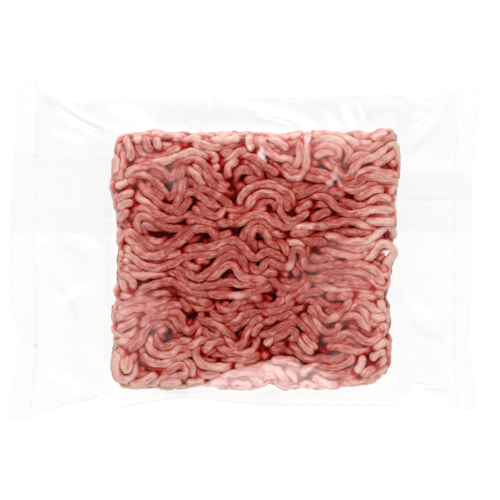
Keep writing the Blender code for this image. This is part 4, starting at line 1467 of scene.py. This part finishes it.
# %% The fin
FIN_ROWS, FIN_COLUMNS = 150, 40
FIN_RIBS = 4
FIN_RIB_SPAN = (12.0, 19.0)
fin_share = np.linspace(0, 1, FIN_ROWS)[:, None]
fin_across = np.linspace(0, 1, FIN_COLUMNS)[None, :]
fin_y = FIN_ROOT_Y + fin_across * 0 + 0 * fin_share
for _ in range(3):
    fin_x = along(LEFT_OUTER, fin_y) + 0.6 + fin_share * (along(RIGHT_OUTER, fin_y) - along(LEFT_OUTER, fin_y) - 1.2)
    free = FIN_FREE_Y[0][1] + (FIN_FREE_Y[1][1] - FIN_FREE_Y[0][1]) * (fin_x + 118) / 236
    fin_y = FIN_ROOT_Y + (free - FIN_ROOT_Y) * fin_across
rib_phase = (fin_y - FIN_RIB_SPAN[0]) / (FIN_RIB_SPAN[1] - FIN_RIB_SPAN[0])
ribbed = ((rib_phase > 0) & (rib_phase < 1)) * 0.12 * np.sin(2 * math.pi * FIN_RIBS * rib_phase)
beneath = np.where(np.abs(fin_x) > 104, edge_height(fin_x, fin_y) - 0.35, sampled(under, fin_x, fin_y))
fin_z = np.maximum(beneath - 0.3 + ribbed + 0.08 * waves(fin_x, fin_y, 95, 14), 0.05)
right_half = (fin_x > 0) * eased((fin_y - 25.5) / 0.8)
fin = grid_mesh(
    "back_fin",
    [(fin_x, fin_y, fin_z)],
    {
        "veil": 0 * fin_x,
        "shade": 0.016 + 0.012 * right_half,
        "rim_mm": free - fin_y + 0.3,
        "seam_mm": 0 * fin_x - 5,
        "across_mm": fin_y,
        "along_mm": fin_x,
        "grainy": 0.2 + 0.8 * eased((fin_y - 9) / 2) * eased((23 - fin_y) / 3),
        "wing": 0 * fin_x,
    },
)

# %% [markdown]
# Packing film is polypropylene, about 0.04 mm thick, cast smooth. It is too thin to bend light, so each
# sheet is a single surface: most light goes straight through, and a share is mirrored that grows at low
# angles (Schlick's rule, from the facing angle, which is the same from both sides of a thin sheet).


# %% Polypropylene film
LINE_WIDTH = 0.9
REFLECTION_ON_MEAT = "#dab1af"


def film_material(name, mirrored):
    """Clear film with frosted creases, painted shade and a glowing painted reflection. Its attributes are lengths in mm
    and strengths from 0 to 1.
    """
    made, output = new_material(name)

    def held(label):
        return add_node(made, "Attribute", {"attribute_name": label}).outputs["Fac"]

    def times(a, b):
        return add_node(made, "Math", {"operation": "MULTIPLY"}, in0=a, in1=b).outputs[0]

    def plus(a, b):
        return add_node(made, "Math", {"operation": "ADD", "use_clamp": True}, in0=a, in1=b).outputs[0]

    def spread(value, low, high, to_low, to_high):
        made_range = add_node(made, "MapRange", Value=value, From_Min=low, From_Max=high, To_Min=to_low, To_Max=to_high)
        return made_range.outputs[0]

    place = add_node(made, "TexCoord").outputs["Object"]
    facing = add_node(made, "LayerWeight", Blend=0.5).outputs["Facing"]
    steep = add_node(made, "Math", {"operation": "POWER"}, in0=facing, in1=4.0).outputs[0]
    share = plus(times(steep, 0.75), mirrored)
    ripple = add_node(made, "TexNoise", Vector=place, Scale=140.0, Detail=3.0)
    bump = add_node(made, "Bump", Height=ripple.outputs["Fac"], Strength=0.15, Distance=0.3 * MM)
    dimmed = add_node(made, "MixRGB", Fac=held("shade"), Color1=to_linear("#ffffff"), Color2=to_linear("#1c1c1c"))
    clear = add_node(made, "BsdfTransparent", Color=dimmed.outputs[0])
    gloss = add_node(made, "BsdfGlossy", Color=to_linear("#ffffff"), Roughness=0.07, Normal=bump.outputs[0])
    sheet = add_node(made, "MixShader", Fac=share, in1=clear.outputs[0], in2=gloss.outputs[0])

    grain_place = add_node(made, "CombineXYZ", X=held("across_mm"), Y=times(held("along_mm"), 0.015)).outputs[0]
    grain = add_node(made, "TexNoise", Vector=grain_place, Scale=0.5, Detail=1.0, Roughness=0.5).outputs["Fac"]
    streaks = times(spread(grain, 0.35, 0.65, 0.008, 0.045), held("grainy"))
    mottle_noise = add_node(made, "TexNoise", Vector=place, Scale=120.0, Detail=5.0, Roughness=0.7).outputs["Fac"]
    mottle = times(spread(mottle_noise, 0.40, 0.68, 0.004, 0.03), held("wing"))
    outline_line = spread(held("rim_mm"), 0.0, LINE_WIDTH, 0.16, 0.0)
    off_seam = add_node(made, "Math", {"operation": "ABSOLUTE"}, in0=held("seam_mm")).outputs[0]
    patchy = add_node(made, "TexNoise", Vector=place, Scale=70.0, Detail=2.0).outputs["Fac"]
    seam_line = times(spread(off_seam, 0.0, LINE_WIDTH, 0.18, 0.0), spread(patchy, 0.3, 0.6, 0.4, 1.0))
    frosted = plus(plus(streaks, mottle), plus(outline_line, seam_line))
    frost = add_node(made, "BsdfPrincipled", Base_Color=to_linear("#e6eef2"), Roughness=0.5)
    crisp = add_node(made, "MixShader", Fac=frosted, in1=sheet.outputs[0], in2=frost.outputs[0])

    # Painted reflection: a whitish layer mixed over the film where its strength attribute is high, pinkish over the
    # meat and white in the wings. Its emission makes it glow though it is no lamp.
    reflection_noise = add_node(made, "TexNoise", Vector=place, Scale=90.0, Detail=4.0, Roughness=0.65).outputs["Fac"]
    reflection_share = times(held("veil"), spread(reflection_noise, 0.3, 0.7, 0.8, 1.15))
    off_meat = plus(held("wing"), times(held("veil"), 3.5))
    reflection_colour = add_node(made, "MixRGB", Fac=off_meat, Color1=to_linear(REFLECTION_ON_MEAT), Color2=to_linear("#fafdff"))
    glowing_reflection = add_node(made, "BsdfPrincipled", Base_Color=reflection_colour.outputs[0], Emission_Color=reflection_colour.outputs[0])
    glowing_reflection.inputs["Emission Strength"].default_value = 1.3
    whole = add_node(made, "MixShader", Fac=reflection_share, in1=crisp.outputs[0], in2=glowing_reflection.outputs[0])
    made.node_tree.links.new(whole.outputs[0], output.inputs["Surface"])
    return made


film_bag.data.materials.append(film_material("polypropylene_film", 0.03))
fin.data.materials.append(film_material("polypropylene_fin", 0.01))

# %% [markdown]
# ## Camera, floor and light
# The pack lies on a plain white surface and is seen from straight above through a long lens. The light is
# even and soft, from a bright room, with long soft lamps beyond each long side that the film reflects.

# %% Camera and floor
CAMERA_HEIGHT = 3.0
VIEW_WIDTH = 250 * MM
VIEW_CENTRE = (3.5 * MM, 0.25 * MM)

camera_data = bpy.data.cameras.new("camera")
camera_data.sensor_width = 36.0
camera_data.lens = 36.0 * (CAMERA_HEIGHT - 0.028) / VIEW_WIDTH
camera_data.clip_end = 10.0
camera = bpy.data.objects.new("camera", camera_data)
camera.location = (*VIEW_CENTRE, CAMERA_HEIGHT)
bpy.context.scene.collection.objects.link(camera)
bpy.context.scene.camera = camera

floor_mesh = bpy.data.meshes.new("floor")
FLOOR_HALF = 4.0
floor_mesh.from_pydata([(-FLOOR_HALF, -FLOOR_HALF, 0), (FLOOR_HALF, -FLOOR_HALF, 0), (FLOOR_HALF, FLOOR_HALF, 0), (-FLOOR_HALF, FLOOR_HALF, 0)], [], [(0, 1, 2, 3)])
floor = bpy.data.objects.new("floor", floor_mesh)
bpy.context.scene.collection.objects.link(floor)
white_board, output = new_material("white_board")
board = add_node(white_board, "BsdfPrincipled", Base_Color=to_linear("#5a5a5a"), Roughness=0.85)
board.inputs["Emission Color"].default_value = (1, 1, 1, 1)
board.inputs["Emission Strength"].default_value = 0.93
white_board.node_tree.links.new(board.outputs[0], output.inputs["Surface"])
floor.data.materials.append(white_board)

# %% Lights
SOFTBOXES = (
    ("softbox_far", (-0.1, 0.62, 0.62), 3.8),
    ("softbox_near", (0.15, -0.6, 0.6), 2.0),
    ("softbox_left", (-0.65, 0.0, 0.55), 1.55),
    ("softbox_right", (0.65, 0.05, 0.55), 1.8),
)


def soft_lamp(name, place, aim, size, power):
    """A rectangular lamp at a place, turned towards a point."""
    data = bpy.data.lights.new(name, "AREA")
    data.shape = "RECTANGLE"
    data.size, data.size_y = size
    data.energy = power
    lamp = bpy.data.objects.new(name, data)
    lamp.location = place
    toward = bpy.data.objects.new(name + "_aim", None)
    direction = np.array(aim) - np.array(place)
    length = np.linalg.norm(direction)
    pitch = math.acos(-direction[2] / length)
    turn = math.atan2(direction[1], direction[0])
    lamp.rotation_euler = (pitch, 0, turn - math.pi / 2)
    bpy.data.objects.remove(toward)
    bpy.context.scene.collection.objects.link(lamp)
    return lamp


scene = bpy.context.scene
world = bpy.data.worlds.new("soft_room")
world.use_nodes = True
room = world.node_tree
room_light = room.nodes["Background"]
room_light.inputs["Color"].default_value = (1, 1, 1, 1)
room_light.inputs["Strength"].default_value = 0.16
backdrop = room.nodes.new("ShaderNodeBackground")
backdrop.inputs["Color"].default_value = (1, 1, 1, 1)
backdrop.inputs["Strength"].default_value = 0.93
path = room.nodes.new("ShaderNodeLightPath")
seen_or_light = room.nodes.new("ShaderNodeMixShader")
room.links.new(path.outputs["Is Camera Ray"], seen_or_light.inputs[0])
room.links.new(room_light.outputs[0], seen_or_light.inputs[1])
room.links.new(backdrop.outputs[0], seen_or_light.inputs[2])
room.links.new(seen_or_light.outputs[0], room.nodes["World Output"].inputs["Surface"])
scene.world = world
world.cycles_visibility.glossy = False
soft_lamp("far_lamp", (0.0, 0.75, 0.45), (0, 0, 0), (1.0, 0.25), 3.0)
soft_lamp("near_lamp", (0.1, -0.75, 0.45), (0, 0, 0), (0.8, 0.2), 1.5)
for name, place, power in SOFTBOXES:
    soft_lamp(name, place, (0, 0, 0), (0.45, 0.45), power).visible_glossy = False
scene.view_settings.view_transform = "Standard"

# %% Where each piece belongs
for piece in [film_bag, fin, *pieces.values()]:
    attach(piece, "root")
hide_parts("film_bag")
